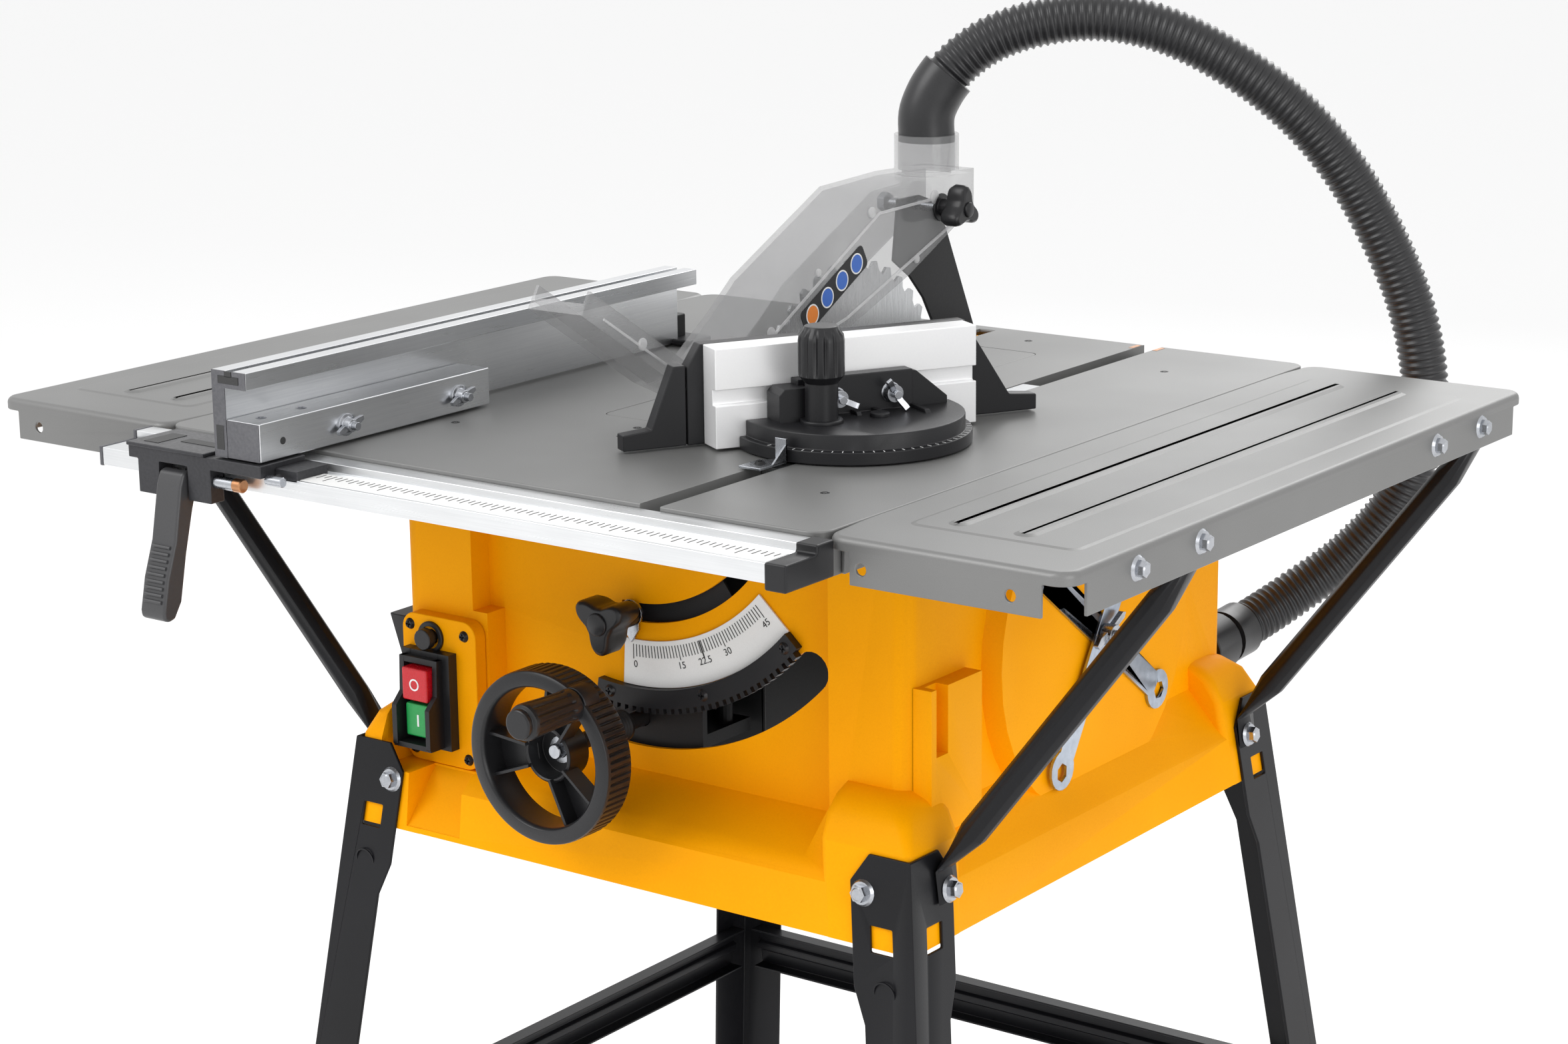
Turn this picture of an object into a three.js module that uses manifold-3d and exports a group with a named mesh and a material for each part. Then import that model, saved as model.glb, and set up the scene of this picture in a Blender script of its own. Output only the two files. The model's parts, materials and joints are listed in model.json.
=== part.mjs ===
// Table saw on a four-leg stand: sheet-metal table with two extensions, moulded housing, tilting and
// lifting saw unit, blade guard with a dust hose, rip fence on a front rail, and a mitre gauge.
// Millimetres, +Z up. X runs along the table's front edge, Y from the front edge to the back.
import * as THREE from "three";
import { mergeVertices } from "three/addons/utils/BufferGeometryUtils.js";
import Module from "manifold-3d";

const wasm = await Module();
wasm.setup();

// ---- driving dimensions ----
const gap = 0.3; // between pieces that touch
const originY = 288.5; // middle of the footprint, measured back from the table's front edge

const table = { half: 290, deep: 642, top: 860, sheet: 2.5, skirt: 30, wide: 470, corner: 14 };
const slot = { x0: 145.5, x1: 162, floor: 850.3 };
const insert = { x0: -50, x1: 95, y0: 200, y1: 566, lip: 6 };

const blade = { x: 5, y: 432, z: 820, radius: 125, thick: 2.4, bore: 15, teeth: 40 };
const tiltZ = table.top; // the saw unit tilts about a line on the table's surface
const crank = { y: 55, z: 647, radius: 63, handle: 54, handleTurn: 55 };

const stand = { x: 35, y: 348, halfX: 252, halfY: 246, at: 600, splay: 0.12, sheet: 2.5, top: 612 };
const bar = { z0: 256, z1: 294, sheet: 2, lip: 14 };

const body = { left: -200, right: 256, front: 145, back: 580, top: 856, wall: 3.5 };
const panel = { x0: -132, x1: 190, y: 165 };
const switchPanel = { x0: -192, x1: -120, z0: 592, z1: 706, y: 133 };

const port = { x: 225, z: 632 }; // where the dust hose enters the housing's back
const hinge = { y: 524, z: 976 }; // cross bolt of the guard
const guardX = { x0: -19, x1: 29, wall: 2.5 };
const hoseRadius = 19;

const fence = { x: -179, y0: -60, y1: 440, z: 862 };
const mitre = { x: 153.75, y: 228, turn: 60, radius: 78 };

// ---- solids from three.js geometry ----
function solid(geometry) {
  const bare = geometry.index ? geometry.toNonIndexed() : geometry.clone();
  for (const name of Object.keys(bare.attributes)) {
    if (name !== "position") bare.deleteAttribute(name);
  }
  const merged = mergeVertices(bare, 1e-3);
  const mesh = new wasm.Mesh({
    numProp: 3,
    vertProperties: merged.attributes.position.array,
    triVerts: new Uint32Array(merged.index.array),
  });
  return new wasm.Manifold(mesh);
}

function geometryOf(made) {
  const mesh = made.getMesh();
  const geometry = new THREE.BufferGeometry();
  geometry.setAttribute("position", new THREE.BufferAttribute(new Float32Array(mesh.vertProperties), 3));
  geometry.setIndex(new THREE.BufferAttribute(new Uint32Array(mesh.triVerts), 1));
  const flat = geometry.toNonIndexed();
  flat.computeVertexNormals();
  return flat;
}

const join = (...pieces) => pieces.reduce((sum, next) => sum.add(next));
const cut = (first, ...tools) => tools.reduce((left, tool) => left.subtract(tool), first);

function block(x0, x1, y0, y1, z0, z1) {
  const geometry = new THREE.BoxGeometry(x1 - x0, y1 - y0, z1 - z0);
  return solid(geometry.translate((x0 + x1) / 2, (y0 + y1) / 2, (z0 + z1) / 2));
}

// Outlines in a plane, pushed along the third axis.
function outline(points) {
  return new THREE.Shape(points.map(([u, v]) => new THREE.Vector2(u, v)));
}

function roundedRect(u0, u1, v0, v1, r) {
  const shape = new THREE.Shape();
  shape.absarc(u1 - r, v0 + r, r, -Math.PI / 2, 0, false);
  shape.absarc(u1 - r, v1 - r, r, 0, Math.PI / 2, false);
  shape.absarc(u0 + r, v1 - r, r, Math.PI / 2, Math.PI, false);
  shape.absarc(u0 + r, v0 + r, r, Math.PI, 1.5 * Math.PI, false);
  return shape;
}

const push = (shape, depth, curveSegments) =>
  new THREE.ExtrudeGeometry(shape, { depth, bevelEnabled: false, curveSegments });

function prismZ(shape, z0, z1, steps = 4) {
  return solid(push(shape, z1 - z0, steps).translate(0, 0, z0));
}

function prismY(shape, y0, y1, steps = 4) {
  return solid(push(shape, y1 - y0, steps).rotateX(Math.PI / 2).translate(0, y1, 0));
}

function prismX(shape, x0, x1, steps = 4) {
  const turn = new THREE.Matrix4().makeBasis(
    new THREE.Vector3(0, 1, 0),
    new THREE.Vector3(0, 0, 1),
    new THREE.Vector3(1, 0, 0),
  );
  return solid(push(shape, x1 - x0, steps).applyMatrix4(turn).translate(x0, 0, 0));
}

// Round bars along one axis; the two numbers before the radius place the bar's centre line.
const cylinder = (r0, r1, length, sides) => new THREE.CylinderGeometry(r1, r0, length, sides);
const rodX = (x0, x1, y, z, r, sides = 20) =>
  solid(cylinder(r, r, x1 - x0, sides).rotateZ(-Math.PI / 2).translate((x0 + x1) / 2, y, z));
const rodY = (y0, y1, x, z, r, sides = 20) =>
  solid(cylinder(r, r, y1 - y0, sides).translate(x, (y0 + y1) / 2, z));
const rodZ = (z0, z1, x, y, r, sides = 20) =>
  solid(cylinder(r, r, z1 - z0, sides).rotateX(Math.PI / 2).translate(x, y, (z0 + z1) / 2));

// A closed skin over a stack of rings with equal counts of points.
function loft(rings) {
  const count = rings[0].length;
  const points = rings.flat();
  const faces = [];
  for (let level = 0; level < rings.length - 1; level += 1) {
    for (let i = 0; i < count; i += 1) {
      const a = level * count + i;
      const b = level * count + ((i + 1) % count);
      faces.push(a, b, b + count, a, b + count, a + count);
    }
  }
  for (let i = 1; i < count - 1; i += 1) {
    const top = (rings.length - 1) * count;
    faces.push(0, i + 1, i, top, top + i, top + i + 1);
  }
  const signed = faces.reduce((sum, _, k) => {
    if (k % 3) return sum;
    const [p, q, r] = [0, 1, 2].map((n) => points[faces[k + n]]);
    return sum + p.dot(new THREE.Vector3().crossVectors(q, r));
  }, 0);
  if (signed < 0) faces.reverse();
  return solid(new THREE.BufferGeometry().setFromPoints(points).setIndex(faces));
}

function rectRing(x0, x1, y0, y1, z, r) {
  const points = roundedRect(x0, x1, y0, y1, r).getPoints(4);
  const ring = points.map((p) => new THREE.Vector3(p.x, p.y, z));
  return ring.filter((p, i) => p.distanceTo(ring[(i + 1) % ring.length]) > 1e-3);
}

// A bar along a path of points, with its own half width along Y and half thickness at each point.
function flattenedBar(path, halfWidths, halfThicks, sides = 10) {
  const across = new THREE.Vector3(0, 1, 0);
  const rings = path.map((point, i) => {
    const before = path[Math.max(i - 1, 0)];
    const after = path[Math.min(i + 1, path.length - 1)];
    const along = new THREE.Vector3().subVectors(after, before).normalize();
    const up = new THREE.Vector3().crossVectors(along, across).normalize();
    return Array.from({ length: sides }, (_, k) => {
      const angle = (k / sides) * 2 * Math.PI;
      return point.clone()
        .addScaledVector(across, halfWidths[i] * Math.cos(angle))
        .addScaledVector(up, halfThicks[i] * Math.sin(angle));
    });
  });
  return loft(rings);
}

// Slants a solid outwards below the stand's reference height, as the legs splay.
function splayed(made, signX, signY) {
  const sx = signX * stand.splay;
  const sy = signY * stand.splay;
  const lean = new THREE.Matrix4().set(
    1, 0, -sx, sx * stand.at,
    0, 1, -sy, sy * stand.at,
    0, 0, 1, 0,
    0, 0, 0, 1,
  );
  return solid(geometryOf(made).applyMatrix4(lean));
}

// A ring sector in an XZ plane about the tilt axis; angles in degrees from straight down towards +X.
function sector(inner, outer, from, to) {
  const shape = new THREE.Shape();
  const a0 = THREE.MathUtils.degToRad(from - 90);
  const a1 = THREE.MathUtils.degToRad(to - 90);
  shape.absarc(blade.x, tiltZ, outer, a0, a1, false);
  shape.absarc(blade.x, tiltZ, inner, a1, a0, true);
  return shape;
}

function onArc(radius, degrees) {
  const a = THREE.MathUtils.degToRad(degrees);
  return [blade.x + radius * Math.sin(a), tiltZ - radius * Math.cos(a)];
}

// ---- scene graph ----
const group = new THREE.Group();
const saw = new THREE.Group();
saw.position.y = -originY;
group.add(saw);

const finish = (color, roughness, metalness) => ({ color, roughness, metalness });
const yellow = finish(0xffb000, 0.55, 0);
const sheetGrey = finish(0x9a9a98, 0.45, 0.6);
const aluminium = finish(0xc9cacb, 0.35, 0.9);
const blackSteel = finish(0x2c2d30, 0.5, 0.4);
const blackPlastic = finish(0x232326, 0.55, 0);
const zinc = finish(0xb9bcc0, 0.35, 0.9);
const steel = finish(0x9fa2a6, 0.3, 1);
const clear = finish(0xb8bcc0, 0.15, 0);
const rubber = finish(0x19191b, 0.85, 0);

function add(name, made, look, parent = saw) {
  const mesh = new THREE.Mesh(geometryOf(made), new THREE.MeshStandardMaterial(look));
  mesh.name = name;
  parent.add(mesh);
  return mesh;
}

// ---- table ----
function trayCorners(x0, x1, size) {
  const y1 = table.deep;
  const low = table.top - table.skirt - 1;
  const high = table.top - 9;
  return [[x0, 0], [x1, 0], [x0, y1], [x1, y1]].map(([x, y]) =>
    block(x - size, x + size, y - size, y + size, low, high));
}

function tray(x0, x1, notch) {
  const low = table.top - table.skirt;
  const t = table.sheet;
  const outer = prismZ(roundedRect(x0, x1, 0, table.deep, table.corner), low, table.top);
  const inner = prismZ(
    roundedRect(x0 + t, x1 - t, t, table.deep - t, table.corner - t), low - 1, table.top - t);
  return cut(outer, inner, ...trayCorners(x0, x1, notch));
}

function tableTop() {
  const { x0, x1, y0, y1, lip } = insert;
  const under = table.top - table.sheet;
  const channel = cut(
    block(slot.x0 - 2, slot.x1 + 2, 1, table.deep - 1, slot.floor - 2, under + 1),
    block(slot.x0, slot.x1, -1, table.deep + 1, slot.floor, table.top + 1));
  const ledge = cut(
    prismZ(roundedRect(x0 - lip, x1 + lip, y0 - lip, y1 + lip, 12), under - 4, under + 0.5),
    prismZ(roundedRect(x0 + lip, x1 - lip, y0 + lip, y1 - lip, 6), under - 5, under + 1));
  const opened = cut(
    tray(-table.half, table.half, 10),
    block(slot.x0, slot.x1, -1, table.deep + 1, slot.floor, table.top + 1));
  return cut(
    join(opened, channel, ledge),
    prismZ(roundedRect(x0, x1, y0, y1, 8), under, table.top + 1),
    block(blade.x - 7, blade.x + 8, y1 - lip - 5, 629, under - 5, table.top + 1),
    block(blade.x - 7, blade.x + 13, y1 - lip - 5, 629, under - 5, under - 0.4));
}

function extension(side) {
  const edges = [side * (table.half + 0.6), side * table.wide].sort((a, b) => a - b);
  const holes = [319, 428].map((x) => rodY(-1, 5, side * x, table.top - 19, 4, 14));
  return cut(tray(edges[0], edges[1], 20), ...holes);
}

function tableInsert() {
  const { x0, x1, y0, y1 } = insert;
  const c = 0.5;
  const plate = prismZ(roundedRect(x0 + c, x1 - c, y0 + c, y1 - c, 7.5), 857.9, table.top);
  return cut(plate, block(blade.x - 4.5, blade.x + 7, 304, y1 + 1, 850, 870));
}

add("table_top", tableTop(), sheetGrey);
add("extension_right", extension(1), sheetGrey);
add("extension_left", extension(-1), sheetGrey);
add("table_insert", tableInsert(), sheetGrey);

// ---- housing ----
function housingForm(inset, z0, z1) {
  const ringAt = (z, grow) => {
    const e = grow - inset;
    return rectRing(
      stand.x - stand.halfX + 3.2 - e, stand.x + stand.halfX - 3.2 + e,
      stand.y - stand.halfY + 3.2 - e, stand.y + stand.halfY - 3.2 + e, z, 8);
  };
  const upper = (z) => rectRing(
    body.left + inset, body.right - inset, body.front + inset, body.back - inset, z, 14);
  const shell = loft([
    ringAt(z0, stand.splay * (stand.at - z0)), ringAt(585, stand.splay * 15), upper(622), upper(z1)]);
  const recess = prismX(outline([
    [panel.y + inset, 610 - inset], [panel.y + inset, 900], [90, 900], [90, 588 - inset]]),
  panel.x0 - inset, panel.x1 + inset).intersect(prismY(outline([
    [panel.x0 + 14 - inset, 500], [panel.x1 + inset, 500], [panel.x1 + inset, 910],
    [panel.x0 - inset, 910], [panel.x0 - inset, 712 - inset], [panel.x0 + 14 - inset, 712 - inset]]), 80, 200));
  const bulge = solid(cylinder(140 - inset, 128 - inset, 34, 36)
    .rotateZ(-Math.PI / 2).translate(body.right - 20 + 17 - inset, 367, 707));
  const flare = prismX(outline([
    [100, 552 - inset], [133 + inset, 590 - inset], [133 + inset, 640], [90, 640], [90, 552 - inset]]),
  switchPanel.x0 + 28 - inset, panel.x0 + 20 + inset);
  const seat = block(
    switchPanel.x0 - gap - inset, switchPanel.x1 + gap + inset, 80, body.front - 0.1 + inset,
    switchPanel.z0 - gap - inset, 650);
  const parts = [
    cut(shell, recess),
    bulge,
    block(-80 + inset, 160 - inset, 560, 622 - inset, 560 + inset, z1),
  ];
  for (const [sx, sy] of [[1, 1], [1, -1], [-1, 1], [-1, -1]]) {
    const x = stand.x + sx * (stand.halfX - 2.8 - inset);
    const y = stand.y + sy * (stand.halfY - 2.8 - inset);
    const level = (z, back, r) => {
      const [xa, xb] = [x - sx * back, x - sx * (74 - 2 * inset)].sort((a, b) => a - b);
      const [ya, yb] = [y - sy * back, y - sy * (62 - 2 * inset)].sort((a, b) => a - b);
      return rectRing(xa, xb, ya, yb, z, r);
    };
    const boss = loft([
      level(z0, 0, 6), level(614, 0, 6), level(630, 5, 9), level(639 - inset, 14, 12), level(644 - inset, 26, 14)]);
    parts.push(splayed(boss, sx, sy));
  }
  return cut(join(...parts), flare, seat);
}

function housing() {
  const shell = cut(housingForm(0, 548, body.top), housingForm(body.wall, 540, body.top + 10));
  const holder = join(shell, block(body.right - 1, body.right + 14, 152, 214, 612, 716));
  return cut(
    holder,
    block(body.right + 4, body.right + 20, 158, 172, 668, 720),
    prismY(sector(203, 232, -6, 46), 150, 175, 16),
    rodY(150, 175, ...onArc(217.5, -6), 14.5),
    rodY(150, 175, ...onArc(217.5, 46), 14.5),
    prismY(sector(125, 139, -5, 48.5), 150, 175, 16),
    rodY(570, 590, port.x, port.z, 20.8, 24),
    rodY(body.back, 620, port.x, port.z, 29.5, 24),
    rodY(120, 150, -163, 690, 5.6, 16),
    block(slot.x0 - 2.5, slot.x1 + 2.5, 140, 630, slot.floor - 2.5, 870));
}

add("housing", housing(), yellow);

function dustPort() {
  const profile = [
    [17.5, 0], [20.5, 0], [20.5, 6], [24, 6], [24, 50], [21.5, 50], [21.5, 44], [17.5, 40], [17.5, 0],
  ];
  const points = profile.map(([r, y]) => new THREE.Vector2(r, y));
  const pipe = solid(new THREE.LatheGeometry(points, 24));
  const flange = cut(rodY(6, 9, 0, 0, 29, 24), rodY(5, 10, 0, 0, 18.5, 24));
  return solid(geometryOf(join(pipe, flange)).translate(port.x, body.back - 5.5, port.z));
}

add("dust_port", dustPort(), blackPlastic);

// ---- switch on the front ----
function switchPlate() {
  const { x0, x1, z0, z1, y } = switchPanel;
  const plate = prismY(roundedRect(x0, x1, z0, z1, 12), y, body.front - gap);
  return cut(plate, rodY(130, 150, -163, 690, 5.6, 16));
}

function switchFrame() {
  const frame = prismY(roundedRect(-184, -142, 610, 677, 4), 118, 132.7);
  return cut(frame, block(-176, -150, 115, 140, 616, 642.6), block(-176, -150, 115, 140, 644.6, 671));
}

function resetButton() {
  return join(rodY(122, 129, -163, 690, 8, 16), rodY(128, 141, -163, 690, 5, 16));
}

add("switch_plate", switchPlate(), yellow);
add("switch_frame", switchFrame(), blackPlastic);
add("stop_button", block(-175.4, -150.6, 112, 128, 645.2, 670.4), finish(0xc8102e, 0.4, 0));
add("start_button", block(-175.4, -150.6, 115, 128, 616.6, 642), finish(0x159a45, 0.4, 0));
add("reset_button", resetButton(), rubber);

// ---- tilt scale and rack on the front panel ----
function toothedArc() {
  const plain = prismY(sector(186.6, 200.5, -9, 48), 158, panel.y - gap, 20);
  const teeth = [];
  for (let degrees = -8; degrees <= 46; degrees += 2) {
    const wide = 0.55;
    teeth.push(prismY(sector(199.5, 204.5, degrees - wide, degrees + wide), 158, panel.y - gap, 1));
  }
  return join(plain, ...teeth);
}

add("tilt_scale", prismY(sector(152, 186.2, -3, 48), 163.2, panel.y - gap, 16), finish(0xf2f2f0, 0.5, 0));
add("tilt_rack", toothedArc(), blackSteel);

// ---- spanners stored on the side ----
function spanner(x, degrees) {
  const shape = roundedRect(-108, 108, -10, 10, 9.9);
  const bar = join(
    prismX(shape, x, x + 2.5, 3),
    rodX(x, x + 2.5, -104, 0, 15, 18),
    rodX(x, x + 2.5, 104, 0, 15, 18));
  const made = cut(
    bar,
    rodX(x - 1, x + 4, -106, 0, 8.5, 6),
    rodX(x - 1, x + 4, 106, 0, 7, 6),
    rodX(x - 1, x + 4, 0, 0, 4.6, 14));
  const geometry = geometryOf(made).rotateX(THREE.MathUtils.degToRad(degrees));
  return solid(geometry.translate(0, 367, 707));
}

function spannerStud() {
  const x = body.right + 14.3;
  return join(
    rodX(x, x + 20, 367, 707, 4, 14),
    rodX(x + 6.2, x + 15, 367, 707, 8, 14),
    prismX(outline([[350, 700], [384, 716], [386, 720], [382, 721], [367, 713], [352, 708], [347, 703]]),
      x + 8, x + 12));
}

add("spanner_large", spanner(body.right + 14.3, -37), zinc);
add("spanner_small", spanner(body.right + 17.2, -122), zinc);
add("spanner_stud", spannerStud(), zinc);

// ---- stand ----
const corners = [
  ["front_right", 1, -1],
  ["front_left", -1, -1],
  ["rear_right", 1, 1],
  ["rear_left", -1, 1],
];

function legAndFoot(sx, sy) {
  const x = stand.x + sx * stand.halfX;
  const y = stand.y + sy * stand.halfY;
  const t = stand.sheet;
  const side = [[0, 8], [42, 8], [42, 495], [50, 520], [50, 592], [34, stand.top], [0, stand.top]];
  const yRange = [y, y - sy * t].sort((a, b) => a - b);
  const xRange = [x, x - sx * t].sort((a, b) => a - b);
  const front = prismY(outline(side.map(([u, z]) => [x - sx * u, z])), ...yRange);
  const flank = prismX(outline(side.map(([u, z]) => [y - sy * u, z])), ...xRange);
  const c = 0.4;
  const span = (from, sign, a, b) => [from - sign * a, from - sign * b].sort((p, q) => p - q);
  const windows = [
    block(...span(x, sx, 17, 35), yRange[0] - 5, yRange[1] + 5, 546, 564),
    block(xRange[0] - 5, xRange[1] + 5, ...span(y, sy, 17, 35), 546, 564),
  ];
  const boot = block(...span(x, sx, -3, 50), ...span(y, sy, -3, 50), 0, 32);
  const pocket = [
    block(...span(x, sx, -c, 42 + c), ...span(y, sy, -c, t + c), 8 - c, 40),
    block(...span(x, sx, -c, t + c), ...span(y, sy, -c, 42 + c), 8 - c, 40),
  ];
  return {
    leg: splayed(cut(join(front, flank), ...windows), sx, sy),
    foot: splayed(cut(boot, ...pocket), sx, sy),
  };
}

for (const [place, sx, sy] of corners) {
  const { leg, foot } = legAndFoot(sx, sy);
  add("leg_" + place, leg, blackSteel);
  add("foot_" + place, foot, rubber);
}

// Channel bars between the legs, on the inside of the flanges.
function channelOutline(from, sign) {
  const { z0, z1, sheet, lip } = bar;
  const mid = (z0 + z1) / 2;
  const profile = [
    [0, z0], [lip, z0], [lip, z0 + sheet], [sheet, z0 + sheet], [sheet, mid - 5], [6, mid - 3],
    [6, mid + 3], [sheet, mid + 5], [sheet, z1 - sheet], [lip, z1 - sheet], [lip, z1], [0, z1],
  ];
  return outline(profile.map(([d, z]) => [from - sign * (stand.sheet + gap + d), z]));
}

const barZone = stand.splay * (stand.at - (bar.z0 + bar.z1) / 2) - stand.sheet - bar.lip - 6;
for (const [place, sign] of [["front", -1], ["rear", 1]]) {
  const shape = channelOutline(stand.y + sign * stand.halfY, sign);
  const made = prismX(shape, stand.x - stand.halfX - barZone, stand.x + stand.halfX + barZone);
  add("crossbar_" + place, splayed(made, 0, sign), blackSteel);
}
for (const [place, sign] of [["left", -1], ["right", 1]]) {
  const shape = channelOutline(stand.x + sign * stand.halfX, sign);
  const made = prismY(shape, stand.y - stand.halfY - barZone, stand.y + stand.halfY + barZone);
  add("crossbar_" + place, splayed(made, sign, 0), blackSteel);
}

// Tubes with flattened ends that hold up the extensions.
function brace(sx, yLow, yHigh) {
  const low = (z) => stand.x + sx * (stand.halfX + 2.4 + stand.splay * (stand.at - z));
  const high = sx * (table.wide - table.sheet - gap - 2);
  const at = (t) => new THREE.Vector3(
    THREE.MathUtils.lerp(low(600), high, t), THREE.MathUtils.lerp(yLow, yHigh, t),
    THREE.MathUtils.lerp(600, 834, t));
  const path = [
    new THREE.Vector3(low(576), yLow, 576), at(0), at(0.12), at(0.88), at(1),
    new THREE.Vector3(high, yHigh, 855),
  ];
  return flattenedBar(path, [12, 12.5, 10, 10, 12.5, 12], [1.9, 2.1, 10, 10, 2.1, 1.9]);
}

for (const [place, sx, sy] of corners) {
  add("brace_" + place, sy < 0 ? brace(sx, 140, 156) : brace(sx, 556, 573), blackSteel);
}

// ---- tilting saw unit ----
function trunnion() {
  const plate = cut(
    prismY(outline([[-55, 845], [15, 845], [60, 797], [60, 622], [-55, 622]]), 172, 177),
    rodY(170, 180, blade.x, crank.z, 6.8, 16),
    rodY(170, 180, ...onArc(132, 0), 5.6, 16));
  return join(
    plate,
    block(-55, 36, 176, 260, 620, 630),
    block(-30, 12, 176, 260, 828, 836),
    rodZ(629, 829, -16, 241, 6, 14),
    rodZ(629, 720, 27, 241, 6, 14));
}

function lockKnob() {
  const [x, z] = onArc(132, 0);
  const lobes = [90, 210, 330].map((degrees) => {
    const a = THREE.MathUtils.degToRad(degrees);
    return rodY(120, 146, x + 13 * Math.cos(a), z + 13 * Math.sin(a), 9, 12);
  });
  return join(rodY(122, 148, x, z, 14, 18), ...lobes, rodY(147, 160, x, z, 9.5, 16),
    rodY(159, 184, x, z, 5, 14));
}

function tiltPointer() {
  const [x, z] = onArc(132, 0);
  const tongue = prismY(outline([[x - 7, z], [x + 7, z], [x + 7, z - 12], [x, z - 22], [x - 7, z - 12]]),
    160.4, 162.7);
  return cut(join(tongue, rodY(160.4, 162.7, x, z, 10, 18)), rodY(150, 170, x, z, 5.4, 14));
}

add("trunnion", trunnion(), steel);
add("tilt_lock_knob", lockKnob(), blackPlastic);
add("tilt_pointer", tiltPointer(), zinc);

// ---- height crank ----
function spokedWheel() {
  const { radius, handle, handleTurn } = crank;
  const shape = new THREE.Shape();
  shape.absarc(0, 0, radius, 0, 2 * Math.PI, false);
  for (let n = 0; n < 3; n += 1) {
    const window = new THREE.Path();
    const middle = THREE.MathUtils.degToRad(handleTurn + 60 + 120 * n);
    window.absarc(0, 0, radius - 11, middle - 0.83, middle + 0.83, false);
    window.absarc(0, 0, 19, middle + 0.55, middle - 0.55, true);
    shape.holes.push(window);
  }
  const disc = solid(push(shape, 20, 14).rotateX(Math.PI / 2).translate(blade.x, 78, crank.z));
  const a = THREE.MathUtils.degToRad(handleTurn);
  const hx = blade.x + handle * Math.cos(a);
  const hz = crank.z + handle * Math.sin(a);
  return cut(
    join(disc, rodY(52, 84, blade.x, crank.z, 16, 20), rodY(56, 70, hx, hz, 9, 16)),
    rodY(40, 90, blade.x, crank.z, 6.8, 16),
    rodY(50, 90, hx, hz, 4.4, 12));
}

function crankHandle() {
  const a = THREE.MathUtils.degToRad(crank.handleTurn);
  const profile = [[0, 0], [9, 0], [11.5, 4], [10.5, 26], [12, 54], [9, 57], [4, 57], [4, 76], [0, 76]];
  const grip = new THREE.LatheGeometry(profile.map(([r, y]) => new THREE.Vector2(r, y)), 16);
  return solid(grip.translate(
    blade.x + crank.handle * Math.cos(a), -1.5, crank.z + crank.handle * Math.sin(a)));
}

function crankShaft() {
  return join(
    rodY(48, 230, blade.x, crank.z, 6, 16),
    rodY(44, 51, blade.x, crank.z, 9.5, 6),
    rodY(132, 150, blade.x, crank.z, 11.5, 14),
    rodY(223, 232, blade.x, crank.z, 9, 14));
}

add("handwheel", spokedWheel(), blackPlastic);
add("crank_handle", crankHandle(), blackPlastic);
add("crank_shaft", crankShaft(), steel);

// ---- lifting carriage, motor, blade ----
add("lift_screw", join(rodZ(653, 826, blade.x, 245, 5.5, 14), rodZ(653, 661, blade.x, 245, 9.5, 14)), steel);

function liftCarriage() {
  const sleeve = block(-30, 19, 222, 262, 748, 826);
  const plate = block(-30, -16, 261, 606, 738, 834);
  const clamp = block(-17, 3.4, 572, 606, 776, 832);
  return cut(
    join(sleeve, plate, clamp),
    rodZ(700, 850, -16, 241, 6.6, 14),
    rodZ(700, 850, blade.x, 245, 6.1, 14),
    rodX(-40, 0, blade.y, blade.z, 11, 18));
}

function motor() {
  return join(
    rodX(-188, -30.3, blade.y, 778, 50, 20),
    block(-150, -70, blade.y - 58, blade.y - 40, 750, 806),
    rodX(-194, -187, blade.y, 778, 40, 18));
}

function sawBlade() {
  const { x, y, z, radius, thick, bore, teeth } = blade;
  const points = [];
  for (let n = 0; n < teeth; n += 1) {
    const step = (2 * Math.PI) / teeth;
    for (const [share, r] of [[0, radius], [0.25, radius - 1.2], [0.4, radius - 8], [0.75, radius - 6]]) {
      const a = (n + share) * step;
      points.push([y + r * Math.cos(a), z + r * Math.sin(a)]);
    }
  }
  const disc = prismX(outline(points), x - thick / 2, x + thick / 2);
  return cut(disc, rodX(x - 5, x + 5, y, z, bore, 20));
}

function arbor() {
  const { x, y, z, thick, bore } = blade;
  const side = thick / 2 + gap;
  return join(
    rodX(-29, x - side - 6, y, z, 10, 18),
    rodX(x - side - 7, x - side, y, z, 27, 24),
    rodX(x - side - 1, x + side + 1, y, z, bore - 0.4, 20),
    rodX(x + side, x + side + 4, y, z, 27, 24),
    rodX(x + side + 3, x + side + 13, y, z, 11, 6));
}

function rivingKnife() {
  const shape = new THREE.Shape();
  const arc = (degrees, r = blade.radius + 6) => {
    const a = THREE.MathUtils.degToRad(degrees);
    return [blade.y + r * Math.cos(a), blade.z + r * Math.sin(a)];
  };
  shape.moveTo(604, 782);
  shape.lineTo(608, 830);
  shape.lineTo(612, 858);
  shape.lineTo(567, 952);
  shape.lineTo(550, 976);
  shape.lineTo(530, 983);
  shape.lineTo(500, 983);
  for (const degrees of [62, 50, 38, 26, 14, 4, -6]) shape.lineTo(...arc(degrees));
  shape.lineTo(572, 782);
  return cut(
    prismX(shape, blade.x - 1.3, blade.x + 1.3),
    rodX(0, 10, hinge.y, hinge.z, 4.5, 14));
}

add("lift_carriage", liftCarriage(), steel);
add("motor", motor(), blackSteel);
add("riving_knife", rivingKnife(), blackSteel);
add("saw_blade", sawBlade(), steel);
add("arbor", arbor(), steel);

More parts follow.
